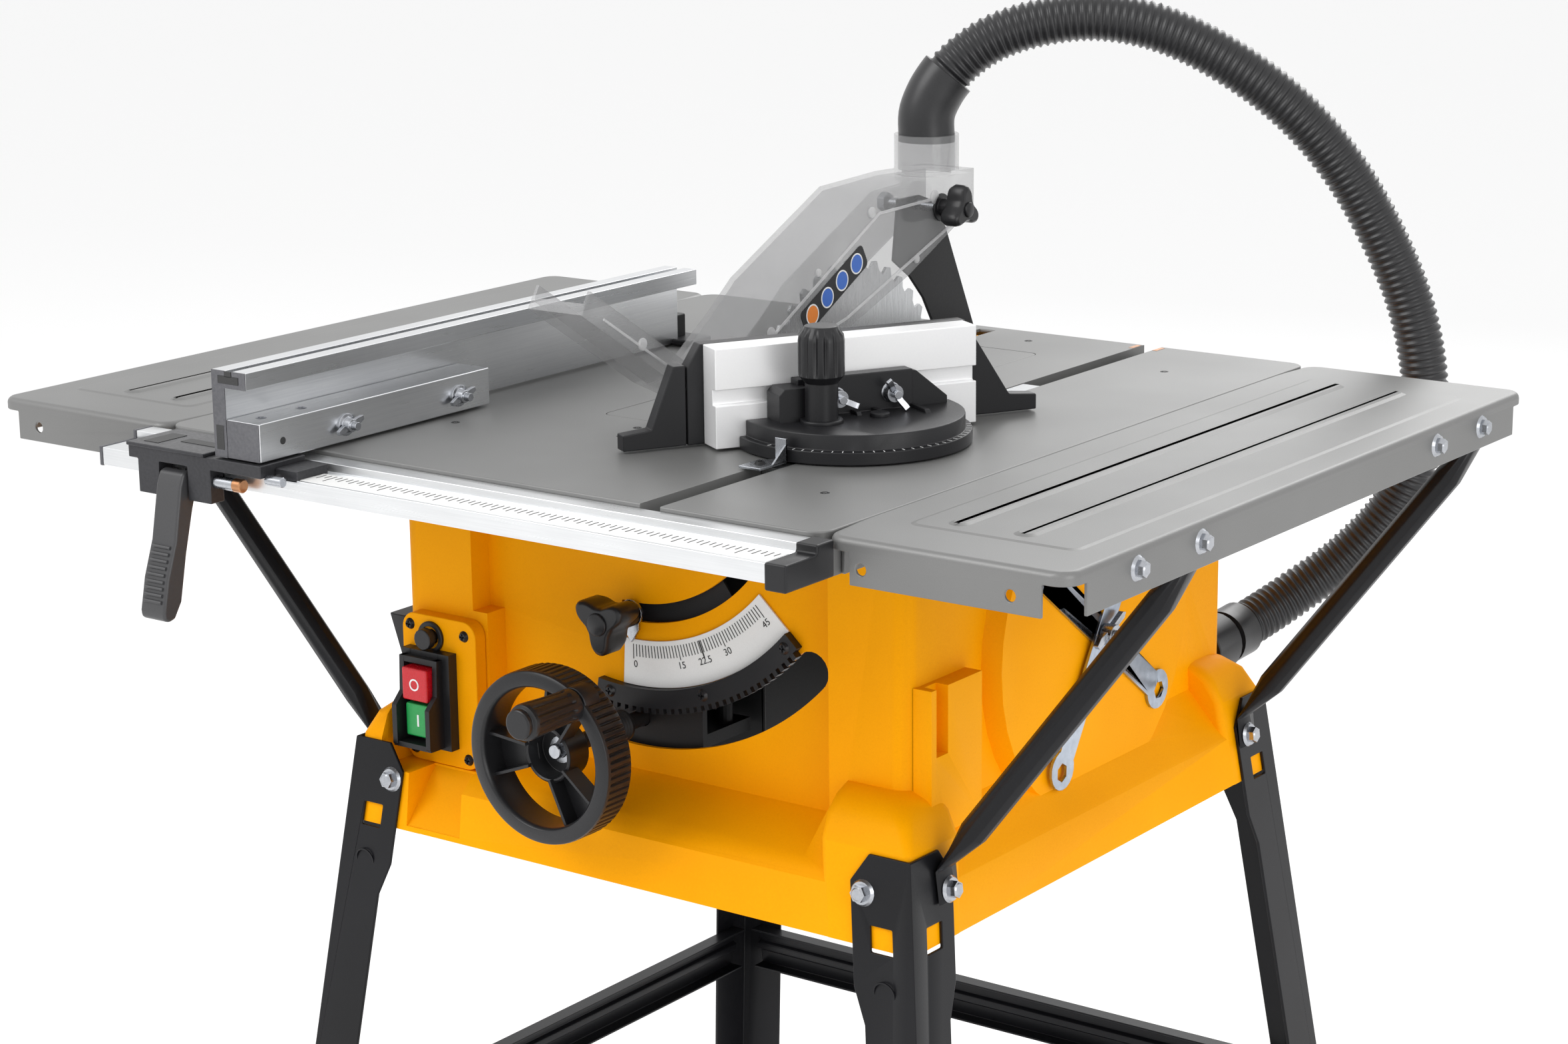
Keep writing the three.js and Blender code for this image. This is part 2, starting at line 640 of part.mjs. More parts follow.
// ---- blade guard ----
function guardShell() {
  const { x0, x1, wall } = guardX;
  const skin = outline([
    [240, 861.5], [389, 896], [479, 928], [545, 958], [572, 972], [572, 1001], [505, 1003], [430, 1000],
    [316, 946], [288, 925], [245, 897], [236, 884], [96, 973], [86, 958],
  ]);
  const hollow = outline([
    [251, 856], [389, 880], [482, 915], [580, 950], [580, 997], [505, 1000], [431, 997], [318, 943.5],
    [290, 922], [249, 895],
  ]);
  const trough = outline([[240, 866], [91, 962], [88, 995], [244, 905]]);
  const inside = [x0 + wall, x1 - wall];
  // Below this slant the wall would meet the table at full tilt.
  const underTilt = prismY(outline([
    [x0 - 5, 850], [blade.x + 14, 850], [x0 - 5, tiltZ + 2.5 + blade.x - x0 + 5]]), 200, 620);
  const made = cut(
    prismX(skin, x0, x1), prismX(hollow, ...inside), prismX(trough, ...inside), underTilt,
    rodX(x0 - 5, x1 + 5, hinge.y, hinge.z, 4.5, 14));
  const pipe = cut(rodZ(999, 1030, blade.x, 541, 25.5, 24), rodZ(990, 1040, blade.x, 541, 22.5, 24));
  return cut(join(made, pipe), rodZ(990, 1010, blade.x, 541, 19.5, 24));
}

function guardBolt() {
  return join(
    rodX(guardX.x0 - 6, 54, hinge.y, hinge.z, 4, 14),
    rodX(guardX.x0 - 7, guardX.x0 - gap, hinge.y, hinge.z, 8, 6));
}

function guardKnob() {
  const x = guardX.x1 + gap;
  const lobes = [90, 210, 330].map((degrees) => {
    const a = THREE.MathUtils.degToRad(degrees);
    return rodX(x + 10, x + 24, hinge.y + 10 * Math.cos(a), hinge.z + 10 * Math.sin(a), 7.5, 12);
  });
  const head = join(rodX(x + 9, x + 26, hinge.y, hinge.z, 11, 16), ...lobes);
  return cut(
    join(head, rodX(x, x + 2, hinge.y, hinge.z, 11, 18), rodX(x, x + 12, hinge.y, hinge.z, 7, 14)),
    rodX(x - 1, 54.4, hinge.y, hinge.z, 4.4, 14));
}

add("blade_guard", guardShell(), clear);
add("guard_bolt", guardBolt(), zinc);
add("guard_knob", guardKnob(), blackPlastic);

// ---- dust hose: from the guard's pipe over the back of the table and into the housing ----
const hoseRoute = [
  [5, 541, 1024], [6, 542, 1050], [20, 553, 1079], [46, 572, 1103], [80, 596, 1116],
  [118, 621, 1119], [158, 649, 1108], [200, 678, 1082], [240, 706, 1045], [271, 728, 1002],
  [297, 746, 950], [318, 760, 892], [329, 767, 832], [327, 767, 778], [310, 760, 728],
  [280, 738, 686], [248, 705, 655], [230, 672, 638], [225, 648, 633], [225, 620, 632],
];

// Part of a longer curve, from one share of its length to another.
class Stretch extends THREE.Curve {
  constructor(whole, from, to) {
    super();
    Object.assign(this, { whole, from, to });
  }

  getPoint(t, target = new THREE.Vector3()) {
    return this.whole.getPointAt(THREE.MathUtils.lerp(this.from, this.to, t), target);
  }
}

function hose(from, to, steps) {
  const points = hoseRoute.map((p) => new THREE.Vector3(...p));
  const whole = new THREE.CatmullRomCurve3(points, false, "centripetal");
  const ring = new THREE.Shape();
  ring.absarc(0, 0, hoseRadius, 0, 2 * Math.PI, false);
  const extrudePath = new Stretch(whole, from, to);
  return solid(new THREE.ExtrudeGeometry(ring, { steps, extrudePath, curveSegments: 10 }));
}

const hoseSplit = 0.46;
add("hose_upper", hose(0, hoseSplit - 0.0003, 9), rubber);
add("hose_lower", hose(hoseSplit + 0.0003, 1, 11), rubber);

// ---- rip fence on the front rail ----
function fenceRail() {
  const section = outline([
    [-50, 838], [-47, 838], [-47, 848], [-20, 848], [-20, 835], [-0.6, 835], [-0.6, 857], [-17, 857],
    [-17, 851], [-50, 851],
  ]);
  return prismX(section, -304, 283);
}

function railCap() {
  const section = outline([
    [-52, 834], [-0.6, 834], [-0.6, 858], [-19, 858], [-19, 852], [-52, 852],
  ]);
  return prismX(section, 283 + gap, 300);
}

function fenceProfile() {
  const { x, y0, y1, z } = fence;
  const section = outline([
    [x, z], [x + 12, z], [x + 12, z + 49], [x + 32, z + 49], [x + 32, z + 61], [x + 19.5, z + 61],
    [x + 19.5, z + 57.5], [x + 26, z + 57.5], [x + 26, z + 52], [x + 6, z + 52], [x + 6, z + 57.5],
    [x + 12.5, z + 57.5], [x + 12.5, z + 61], [x, z + 61],
  ]);
  return cut(prismY(section, y0, y1), block(x + 3, x + 9, y0 - 1, y1 + 1, z + 6, z + 22));
}

function fenceCarriage() {
  const plate = block(-262, -133, -64, -20, 852, 861);
  return join(
    plate,
    block(-253, -232, -64, -51, 828, 853),
    block(-204, -182, -64, -51, 828, 853),
    rodX(-233, -203, -57.5, 842, 3.5, 12));
}

function fenceLever() {
  const arm = outline([
    [-52, 846], [-64, 849], [-69, 840], [-77, 800], [-86, 775], [-91, 752], [-92, 746], [-82, 744],
    [-73, 755], [-66, 790], [-58, 820], [-52.5, 835],
  ]);
  return cut(prismX(arm, -230, -206), rodX(-240, -200, -57.5, 842, 4.1, 12));
}

add("fence_rail", fenceRail(), aluminium);
add("rail_cap", railCap(), blackPlastic);
add("fence_profile", fenceProfile(), aluminium);
add("fence_face", block(fence.x + 12.3, -136, fence.y0, 176, fence.z, 889), aluminium);
add("fence_carriage", fenceCarriage(), aluminium);
add("fence_lever", fenceLever(), blackPlastic);

// ---- mitre gauge ----
add("mitre_bar", join(
  block(slot.x0 + 0.6, slot.x1 - 0.6, 131, 461, slot.floor + 0.3, 859.6),
  rodZ(858, 869, mitre.x, mitre.y, 5, 16)), steel);

const mitreTurn = new THREE.Group();
mitreTurn.position.set(mitre.x, mitre.y, 0);
mitreTurn.rotation.z = THREE.MathUtils.degToRad(mitre.turn);
saw.add(mitreTurn);

function mitreHead() {
  const r = mitre.radius;
  const half = (radius) => {
    const shape = new THREE.Shape();
    shape.absarc(0, 0, radius, Math.PI, 2 * Math.PI, false);
    shape.lineTo(radius, 8);
    shape.lineTo(-radius, 8);
    return shape;
  };
  const upright = block(-44, 44, -4, 8, 878, 908);
  return cut(
    join(prismZ(half(r + 5), 861, 870, 14), prismZ(half(r), 869, 881, 14), upright),
    rodZ(850, 870, 0, 0, 5.4, 16),
    rodZ(869, 990, -34, -22, 4.6, 14));
}

function mitreKnob() {
  const profile = [[0, 0], [4, 0], [4, 11], [12, 11], [12, 40], [15.5, 44], [15.5, 74], [13, 78], [0, 78]];
  const points = profile.map(([r, h]) => new THREE.Vector2(r, h));
  return solid(new THREE.LatheGeometry(points, 16).rotateX(Math.PI / 2).translate(-34, -22, 870.5));
}

function mitreFence() {
  const section = outline([
    [8.3, 862], [30, 862], [30, 932], [8.3, 932], [8.3, 903], [14, 903], [14, 892], [8.3, 892],
  ]);
  return prismX(section, -100, 100);
}

function mitreBacking() {
  const shape = outline([
    [-112, 861.6], [160, 861.6], [160, 873], [138, 875], [102, 932], [-102, 932], [-112, 916],
  ]);
  return prismY(shape, 30.3, 42);
}

add("mitre_head", mitreHead(), blackPlastic, mitreTurn);
add("mitre_knob", mitreKnob(), blackPlastic, mitreTurn);
add("mitre_fence", mitreFence(), aluminium, mitreTurn);
add("mitre_backing", mitreBacking(), blackPlastic, mitreTurn);

export default group;
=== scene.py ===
import json
import math

import bmesh
import bpy
from mathutils import Matrix, Vector
from mathutils.bvhtree import BVHTree


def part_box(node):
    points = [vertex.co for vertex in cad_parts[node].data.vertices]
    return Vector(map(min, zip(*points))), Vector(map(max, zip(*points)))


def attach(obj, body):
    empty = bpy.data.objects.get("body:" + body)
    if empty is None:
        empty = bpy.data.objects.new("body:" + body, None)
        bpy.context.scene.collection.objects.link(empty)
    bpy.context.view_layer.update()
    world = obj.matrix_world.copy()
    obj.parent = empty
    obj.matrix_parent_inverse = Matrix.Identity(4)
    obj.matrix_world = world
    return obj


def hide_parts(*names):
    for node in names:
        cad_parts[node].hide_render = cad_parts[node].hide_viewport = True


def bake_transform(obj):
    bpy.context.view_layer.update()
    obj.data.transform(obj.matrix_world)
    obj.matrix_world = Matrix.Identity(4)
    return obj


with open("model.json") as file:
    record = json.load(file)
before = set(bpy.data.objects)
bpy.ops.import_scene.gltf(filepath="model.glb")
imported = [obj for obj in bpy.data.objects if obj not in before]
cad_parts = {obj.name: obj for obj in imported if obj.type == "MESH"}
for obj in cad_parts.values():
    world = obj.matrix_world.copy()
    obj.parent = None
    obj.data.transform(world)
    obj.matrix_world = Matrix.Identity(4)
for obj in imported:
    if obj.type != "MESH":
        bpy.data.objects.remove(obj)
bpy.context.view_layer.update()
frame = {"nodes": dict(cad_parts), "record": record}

mm = 0.001
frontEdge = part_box("table_top")[0].y  # the table's front edge; piece sizes count back from it


def toFrame(point):
    return Vector((point[0] * mm, point[1] * mm + frontEdge, point[2] * mm))


def addToScene(item):
    bpy.context.scene.collection.objects.link(item)


# camera and light

cameraSet = {"at": (1466.9, -1635.8, 1368.0), "yaw": 36.40, "down": 13.94, "roll": -0.65, "lens": 76.9}
lightSet = {
    "key": {"at": (-1.6, -2.6, 3.4), "size": 2.6, "power": 62},
    "fill": {"at": (3.4, -1.4, 1.6), "size": 2.2, "power": 26},
    "back": {"at": (-0.6, 3.2, 2.8), "size": 2.4, "power": 46},
    "world": 1.0,
    "floor": (0.93, 0.93, 0.93),
}


def makeCamera():
    data = bpy.data.cameras.new("camera")
    data.sensor_width = 36
    data.lens = cameraSet["lens"]
    data.clip_start = 0.05
    data.clip_end = 60
    camera = bpy.data.objects.new("camera", data)
    addToScene(camera)
    turn = (
        Matrix.Rotation(math.radians(cameraSet["yaw"]), 4, "Z")
        @ Matrix.Rotation(math.radians(90 - cameraSet["down"]), 4, "X")
        @ Matrix.Rotation(math.radians(cameraSet["roll"]), 4, "Z")
    )
    camera.matrix_world = Matrix.Translation(toFrame(cameraSet["at"])) @ turn
    bpy.context.scene.camera = camera


def makeLights():
    for name in ("key", "fill", "back"):
        entry = lightSet[name]
        data = bpy.data.lights.new(name, "AREA")
        data.shape = "DISK"
        data.size = entry["size"]
        data.energy = entry["power"]
        lamp = bpy.data.objects.new(name, data)
        lamp.location = entry["at"]
        aim = Vector((0, 0, 0.7)) - lamp.location
        lamp.rotation_euler = aim.to_track_quat("-Z", "Y").to_euler()
        addToScene(lamp)
    world = bpy.data.worlds.new("studio")
    world.use_nodes = True
    background = world.node_tree.nodes["Background"]
    background.inputs["Color"].default_value = (1, 1, 1, 1)
    background.inputs["Strength"].default_value = lightSet["world"]
    bpy.context.scene.world = world
    bpy.context.scene.view_settings.view_transform = "Standard"


makeCamera()
makeLights()
print("camera and lights")


# node graphs: sums on values add Math nodes

class Wire:
    def __init__(self, graph, socket):
        self.graph = graph
        self.socket = socket

    def math(self, operation, *others):
        return self.graph.add("ShaderNodeMath", {"operation": operation}, self, *others)

    def __add__(self, other):
        return self.math("ADD", other)

    def __sub__(self, other):
        return self.math("SUBTRACT", other)

    def __rsub__(self, other):
        return self.graph.add("ShaderNodeMath", {"operation": "SUBTRACT"}, other, self)

    def __mul__(self, other):
        return self.math("MULTIPLY", other)

    def __truediv__(self, other):
        return self.math("DIVIDE", other)

    __radd__ = __add__
    __rmul__ = __mul__


class Graph:
    def __init__(self, tree):
        self.tree = tree

    def add(self, kind, settings=None, *values, out=0, **named):
        node = self.tree.nodes.new(kind)
        for key, value in (settings or {}).items():
            if key == "stops":
                self.setStops(node.color_ramp, value)
            else:
                setattr(node, key, value)
        for socket, value in zip(node.inputs, values):
            self.feed(socket, value)
        for name, value in named.items():
            self.feed(node.inputs[name.replace("_", " ")], value)
        return Wire(self, node.outputs[out])

    def setStops(self, ramp, stops):
        while len(ramp.elements) < len(stops):
            ramp.elements.new(0.5)
        for element, (place, shade) in zip(ramp.elements, stops):
            element.position = place
            element.color = (shade, shade, shade, 1)

    def feed(self, socket, value):
        if value is None:
            return
        if isinstance(value, Wire):
            self.tree.links.new(value.socket, socket)
        else:
            socket.default_value = value

    def mixColour(self, factor, first, second):
        node = self.tree.nodes.new("ShaderNodeMix")
        node.data_type = "RGBA"
        self.feed(node.inputs[0], factor)
        self.feed(node.inputs[6], first)
        self.feed(node.inputs[7], second)
        return Wire(self, node.outputs[2])


# finishes: two colours, roughness and its spread, grain, bump and its depth in metres, specks, brushing

finishBase = dict(rough=0.3, spread=0.14, grain=700, bump=0.05, depth=0.0002, metal=0.0, alpha=1.0, gloss=0.5)
finishSet = {
    "amberPlastic": dict(base=(0.96, 0.392, 0.0), second=(0.9, 0.345, 0.0), rough=0.5, grain=900, bump=0.14,
        depth=0.0003, gloss=0.06, specks=0.06),
    "tablePaint": dict(base=(0.205, 0.205, 0.202), second=(0.182, 0.182, 0.179), rough=0.42, spread=0.12,
        grain=1400, bump=0.08, metal=0.35, gloss=0.4),
    "standPaint": dict(base=(0.009, 0.009, 0.011), second=(0.006, 0.006, 0.007), rough=0.34, grain=1100,
        bump=0.1, gloss=0.22),
    "extrusionY": dict(base=(0.78, 0.79, 0.8), second=(0.66, 0.67, 0.69), grain=900, metal=1.0,
        brush=(1, 0.02, 1)),
    "extrusionX": dict(base=(0.8, 0.81, 0.82), second=(0.7, 0.71, 0.72), grain=900, metal=0.9,
        brush=(0.02, 1, 1)),
    "mitreAluminium": dict(base=(0.97, 0.97, 0.97), second=(0.93, 0.93, 0.94), spread=0.04, grain=600,
        bump=0.02, depth=0.0001, metal=0.35),
    "castGrey": dict(base=(0.055, 0.055, 0.06), second=(0.035, 0.035, 0.038), rough=0.36, spread=0.16,
        grain=420, bump=0.12, depth=0.0003, metal=0.6),
    # darker grey for the rail's left cap, and painted shade on the fence's front end faces
    "capGreyAndEndShade": dict(base=(0.16, 0.16, 0.17), second=(0.11, 0.11, 0.12), rough=0.38, spread=0.16, grain=520,
        bump=0.1, depth=0.0003, metal=0.7),
    "blackPlastic": dict(base=(0.013, 0.013, 0.015), second=(0.009, 0.009, 0.01), rough=0.4, grain=1300,
        bump=0.12, gloss=0.36),
    "leverPlastic": dict(base=(0.05, 0.05, 0.053), second=(0.04, 0.04, 0.042), rough=0.36, spread=0.12,
        grain=800, bump=0.1),
    "gripPlastic": dict(base=(0.015, 0.015, 0.017), second=(0.01, 0.01, 0.011), rough=0.33, spread=0.12,
        grain=800, bump=0.1, gloss=0.4),
    "zincPlate": dict(base=(0.5, 0.51, 0.54), second=(0.4, 0.42, 0.45), rough=0.26, spread=0.16, grain=260,
        metal=1.0),
    "spannerZinc": dict(base=(0.5, 0.55, 0.62), second=(0.36, 0.4, 0.47), spread=0.18, grain=180, bump=0.06,
        metal=1.0),
    "turnedSteel": dict(base=(0.56, 0.57, 0.58), second=(0.44, 0.45, 0.46), spread=0.16, grain=500, bump=0.06,
        metal=1.0, brush=(1, 0.1, 1)),
    "bladeSteel": dict(base=(0.6, 0.61, 0.62), second=(0.46, 0.47, 0.48), rough=0.26, spread=0.16, metal=1.0,
        brush=(1, 1, 0.08)),
    "mattBlackSteel": dict(base=(0.012, 0.012, 0.013), second=(0.008, 0.008, 0.009), rough=0.5, spread=0.12,
        grain=900, bump=0.08, gloss=0.28),
    "footRubber": dict(base=(0.016, 0.016, 0.017), second=(0.024, 0.024, 0.025), rough=0.62, spread=0.2,
        grain=500, bump=0.2, depth=0.0003),
    "hoseRubber": dict(base=(0.014, 0.014, 0.015), second=(0.02, 0.02, 0.022), rough=0.34, bump=0.08),
    "scaleWhite": dict(base=(0.86, 0.86, 0.85), second=(0.8, 0.8, 0.79), rough=0.35, spread=0.1, grain=900,
        bump=0.03, depth=0.0001),
    # black print for ticks and numbers, and painted shade in the fence's hole, the carriage's slots and the hollows
    # at the fence's end
    "inkAndShadeBlack": dict(base=(0.02, 0.02, 0.02), second=(0.03, 0.03, 0.03), rough=0.5, spread=0.1, grain=900,
        bump=0.03, depth=0.0001),
    "stopRed": dict(base=(0.62, 0.006, 0.016), second=(0.52, 0.004, 0.012), rough=0.26, spread=0.12),
    "startGreen": dict(base=(0.01, 0.36, 0.075), second=(0.008, 0.28, 0.06), spread=0.12),
    "markWhite": dict(base=(0.86, 0.86, 0.86), second=(0.8, 0.8, 0.8), rough=0.4, spread=0.1, bump=0.03,
        depth=0.0001),
    "discBlue": dict(base=(0.03, 0.14, 0.55), second=(0.025, 0.11, 0.46), spread=0.1, bump=0.03, depth=0.0001),
    "discOrange": dict(base=(0.85, 0.25, 0.02), second=(0.75, 0.2, 0.015), spread=0.1, bump=0.03, depth=0.0001),
    "copperPin": dict(base=(0.55, 0.27, 0.13), second=(0.4, 0.2, 0.1), rough=0.34, spread=0.2, grain=400,
        metal=1.0),
    "smokyClear": dict(base=(0.36, 0.36, 0.365), second=(0.3, 0.3, 0.305), rough=0.1, spread=0.05, grain=120,
        depth=0.0004, alpha=0.32, gloss=0.75),
    # lighter, more opaque clear plastic for the guard's moulded ribs and bosses: painted highlight along them
    "clearPaintedHighlight": dict(base=(0.8, 0.8, 0.8), second=(0.62, 0.62, 0.63), rough=0.12, spread=0.05, grain=160,
        depth=0.0004, alpha=0.42, gloss=0.8),
}
looks = {}


def makeLook(name):
    entry = {**finishBase, **finishSet[name]}
    material = bpy.data.materials.new(name)
    material.use_nodes = True
    graph = Graph(material.node_tree)
    shader = material.node_tree.nodes["Principled BSDF"]
    coords = graph.add("ShaderNodeTexCoord", out=3)
    stretched = coords
    if "brush" in entry:
        stretched = graph.add("ShaderNodeMapping", None, Vector=coords, Scale=entry["brush"])
    fine = graph.add("ShaderNodeTexNoise", None, Vector=stretched, Scale=entry["grain"], Detail=3.0)
    broad = graph.add("ShaderNodeTexNoise", None, Vector=coords, Scale=9.0, Detail=2.0)
    patches = graph.add("ShaderNodeValToRGB", {"stops": [(0.35, 0), (0.65, 1)]}, broad * 0.6 + fine * 0.4)
    base = (*entry["base"], 1)
    colour = graph.mixColour(patches, base, (*entry["second"], 1))
    if "specks" in entry:
        dust = graph.add("ShaderNodeTexNoise", None, Vector=coords, Scale=entry["grain"] * 0.55, Detail=1.0)
        spots = graph.add("ShaderNodeValToRGB", {"stops": [(0.62, 0), (0.72, entry["specks"])]}, dust)
        colour = graph.mixColour(spots, colour, tuple(0.55 * c for c in entry["base"]) + (1,))
    graph.feed(shader.inputs["Base Color"], colour)
    rough = fine * entry["spread"] + broad * (entry["spread"] * 0.5) + (entry["rough"] - entry["spread"] * 0.75)
    graph.feed(shader.inputs["Roughness"], rough)
    bump = graph.add("ShaderNodeBump", None, Strength=entry["bump"], Distance=entry["depth"], Height=fine)
    graph.feed(shader.inputs["Normal"], bump)
    for socket, key in (("Metallic", "metal"), ("Alpha", "alpha"), ("Specular IOR Level", "gloss")):
        shader.inputs[socket].default_value = entry[key]
    return material


def look(name):
    if name not in looks:
        looks[name] = makeLook(name)
    return looks[name]


# shapes: each is (corners in millimetres, faces)

def box(x0, x1, y0, y1, z0, z1):
    corners = [(x, y, z) for x in (x0, x1) for y in (y0, y1) for z in (z0, z1)]
    faces = [(0, 1, 3, 2), (4, 6, 7, 5), (0, 4, 5, 1), (2, 3, 7, 6), (0, 2, 6, 4), (1, 5, 7, 3)]
    return corners, faces


def threeWays(axis, along, u, v):
    return {"x": (along, u, v), "y": (u, along, v), "z": (u, v, along)}[axis]


def prism(axis, outline, start, end):
    count = len(outline)
    corners = [threeWays(axis, a, u, v) for a in (start, end) for u, v in outline]
    faces = [tuple(range(count)), tuple(range(count, 2 * count))]
    faces += [(i, (i + 1) % count, (i + 1) % count + count, i + count) for i in range(count)]
    return corners, faces


def turned(axis, centre, profile, sides=32, flute=None, closed=False):
    corners = []
    for radius, along in profile:
        for k in range(sides):
            angle = 2 * math.pi * k / sides
            r = radius - (flute(angle, radius, along) if flute and radius > 0 else 0)
            corners.append(threeWays(axis, along, centre[0] + r * math.cos(angle), centre[1] + r * math.sin(angle)))
    faces = []
    rows = len(profile)
    for row in range(rows if closed else rows - 1):
        for k in range(sides):
            after = (k + 1) % sides
            below = ((row + 1) % rows) * sides
            faces.append((row * sides + k, row * sides + after, below + after, below + k))
    if not closed:
        faces.append(tuple(range(sides)))
        faces.append(tuple(range((rows - 1) * sides, rows * sides)))
    return corners, faces


def rod(axis, centre, radius, start, end, sides=20, chamfer=0.0):
    if chamfer:
        profile = [(radius - chamfer, start), (radius, start + chamfer), (radius, end - chamfer),
                   (radius - chamfer, end)]
    else:
        profile = [(radius, start), (radius, end)]
    return turned(axis, centre, profile, sides)


def arc(cu, cv, radius, fromDegrees, toDegrees, steps):
    angles = [math.radians(fromDegrees + (toDegrees - fromDegrees) * i / steps) for i in range(steps + 1)]
    return [(cu + radius * math.cos(a), cv + radius * math.sin(a)) for a in angles]


def roundedRect(u0, u1, v0, v1, r, steps=5):
    return (
        arc(u1 - r, v0 + r, r, -90, 0, steps) + arc(u1 - r, v1 - r, r, 0, 90, steps)
        + arc(u0 + r, v1 - r, r, 90, 180, steps) + arc(u0 + r, v0 + r, r, 180, 270, steps)
    )


def lobed(centre, inner, outer, lobes, startDegrees, steps=96, power=1.6):
    points = []
    for k in range(steps):
        a = 2 * math.pi * k / steps
        swing = 0.5 + 0.5 * math.cos(lobes * (a - math.radians(startDegrees)))
        r = inner + (outer - inner) * swing ** power
        points.append((centre[0] + r * math.cos(a), centre[1] + r * math.sin(a)))
    return points


def stacked(axis, rings):
    count = len(rings[0][1])
    corners = [threeWays(axis, along, u, v) for along, outline in rings for u, v in outline]
    faces = [tuple(range(count)), tuple(range((len(rings) - 1) * count, len(rings) * count))]
    for row in range(len(rings) - 1):
        for k in range(count):
            after = (k + 1) % count
            faces.append((row * count + k, row * count + after, (row + 1) * count + after, (row + 1) * count + k))
    return corners, faces


def turnedAbout(shape, axis, degrees, pivot):
    turn = (
        Matrix.Translation(pivot) @ Matrix.Rotation(math.radians(degrees), 4, axis)
        @ Matrix.Translation(-Vector(pivot))
    )
    return [tuple(turn @ Vector(c)) for c in shape[0]], shape[1]


def shifted(shape, dx=0, dy=0, dz=0):
    return [(x + dx, y + dy, z + dz) for x, y, z in shape[0]], shape[1]


# pieces

def addObject(name, mesh, body, replaces=()):
    piece = bpy.data.objects.new(name, mesh)
    addToScene(piece)
    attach(piece, body)
    if replaces:
        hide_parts(*replaces)
    return piece


def soften(piece, bevel, segments=2, angle=32):
    if bevel:
        modifier = piece.modifiers.new("soft_edges", "BEVEL")
        modifier.width = bevel * mm
        modifier.segments = segments
        modifier.limit_method = "ANGLE"
        modifier.angle_limit = math.radians(angle)
        modifier.harden_normals = True
        modifier.miter_outer = "MITER_ARC"
    return piece


def build(name, shapes, finish, body, replaces=(), bevel=0.0, segments=2, angle=32):
    form = bmesh.new()
    for corners, faces in shapes:
        made = [form.verts.new(toFrame(c)) for c in corners]
        for face in faces:
            form.faces.new([made[i] for i in face])
    bmesh.ops.remove_doubles(form, verts=form.verts, dist=1e-6)
    bmesh.ops.recalc_face_normals(form, faces=form.faces)
    for face in form.faces:
        face.smooth = True
    mesh = bpy.data.meshes.new(name)
    form.to_mesh(mesh)
    form.free()
    mesh.set_sharp_from_angle(angle=math.radians(angle))
    mesh.materials.append(look(finish))
    return soften(addObject(name, mesh, body, replaces), bevel, segments, angle)


def facesCavity(face, tree, centre):  # looks inwards and is walled in on all four sides
    start = face.calc_center_median() + face.normal * 2 * mm
    inwards = centre - start
    upright = abs(face.normal.z) < 0.7
    if upright and face.normal.x * inwards.x + face.normal.y * inwards.y < 0:
        return False
    ways = ((1, 0, 0), (-1, 0, 0), (0, 1, 0), (0, -1, 0))
    return all(tree.ray_cast(start, Vector(way))[0] is not None for way in ways)


def roundRim(form, rim):  # the full bevel on the rim, a sixth of it on the other sharp edges
    layer = form.edges.layers.float.new("bevel_weight_edge")
    sharp, slight = 0.5, 0.16
    for edge in form.edges:
        middle = (edge.verts[0].co + edge.verts[1].co) / 2 - Vector((0, frontEdge, 0))
        if edge.calc_face_angle(0) > sharp:
            edge[layer] = 1.0 if rim(middle / mm) else slight


def refine(node, finish, bevel, segments=2, angle=32, paintedShadeFinish=None, rim=None):
    source = frame["nodes"][node]
    form = bmesh.new()
    form.from_mesh(source.data)
    bmesh.ops.remove_doubles(form, verts=form.verts, dist=2e-6)
    bmesh.ops.dissolve_limit(form, angle_limit=math.radians(0.8), verts=form.verts, edges=form.edges)
    tree = BVHTree.FromBMesh(form) if paintedShadeFinish else None
    centre = sum((vert.co for vert in form.verts), Vector()) / len(form.verts)
    for face in form.faces:
        face.smooth = True
        # faces inside the housing's cavity take the dark second finish: painted shade in place of the housing's own
        # amber
        if paintedShadeFinish and facesCavity(face, tree, centre):
            face.material_index = 1
    if rim:
        roundRim(form, rim)
    name = node + "_finished"
    mesh = bpy.data.meshes.new(name)
    form.to_mesh(mesh)
    form.free()
    mesh.set_sharp_from_angle(angle=math.radians(angle))
    mesh.materials.append(look(finish))
    if paintedShadeFinish:
        mesh.materials.append(look(paintedShadeFinish))
    body = next(b for b, nodes in frame["record"]["behaviour"]["bodies"].items() if node in nodes)
    piece = soften(addObject(name, mesh, body, [node]), bevel, segments, angle)
    if rim:
        piece.modifiers["soft_edges"].limit_method = "WEIGHT"
    return piece


def dress(node, finish):
    piece = frame["nodes"][node]
    piece.data.materials.clear()
    piece.data.materials.append(look(finish))
    piece.data.set_sharp_from_angle(angle=math.radians(32))


# hose

hoseSet = {
    "route": [
        (5, 541, 1024), (6, 542, 1050), (20, 553, 1079), (46, 572, 1103), (80, 596, 1116),
        (118, 621, 1119), (158, 649, 1108), (200, 678, 1082), (240, 706, 1045), (271, 728, 1002),
        (297, 746, 950), (318, 760, 892), (329, 767, 832), (327, 767, 778), (310, 760, 728),
        (280, 738, 686), (248, 705, 655), (230, 672, 638), (225, 648, 633), (225, 620, 632),
    ],
    "radius": 19, "rib": 1.3, "pitch": 6.2, "sides": 28,
    # each stretch is a share of the route across one joint, from the guard down to the fixed housing, and the
    # bodies on either side of it
    "stretches": [
        (0.0, 0.25, "guard_pivot", "guard"), (0.25, 0.5, "carriage", "guard_pivot"),
        (0.5, 0.75, "tilt_unit", "carriage"), (0.75, 1.0, "root", "tilt_unit"),
    ],
}


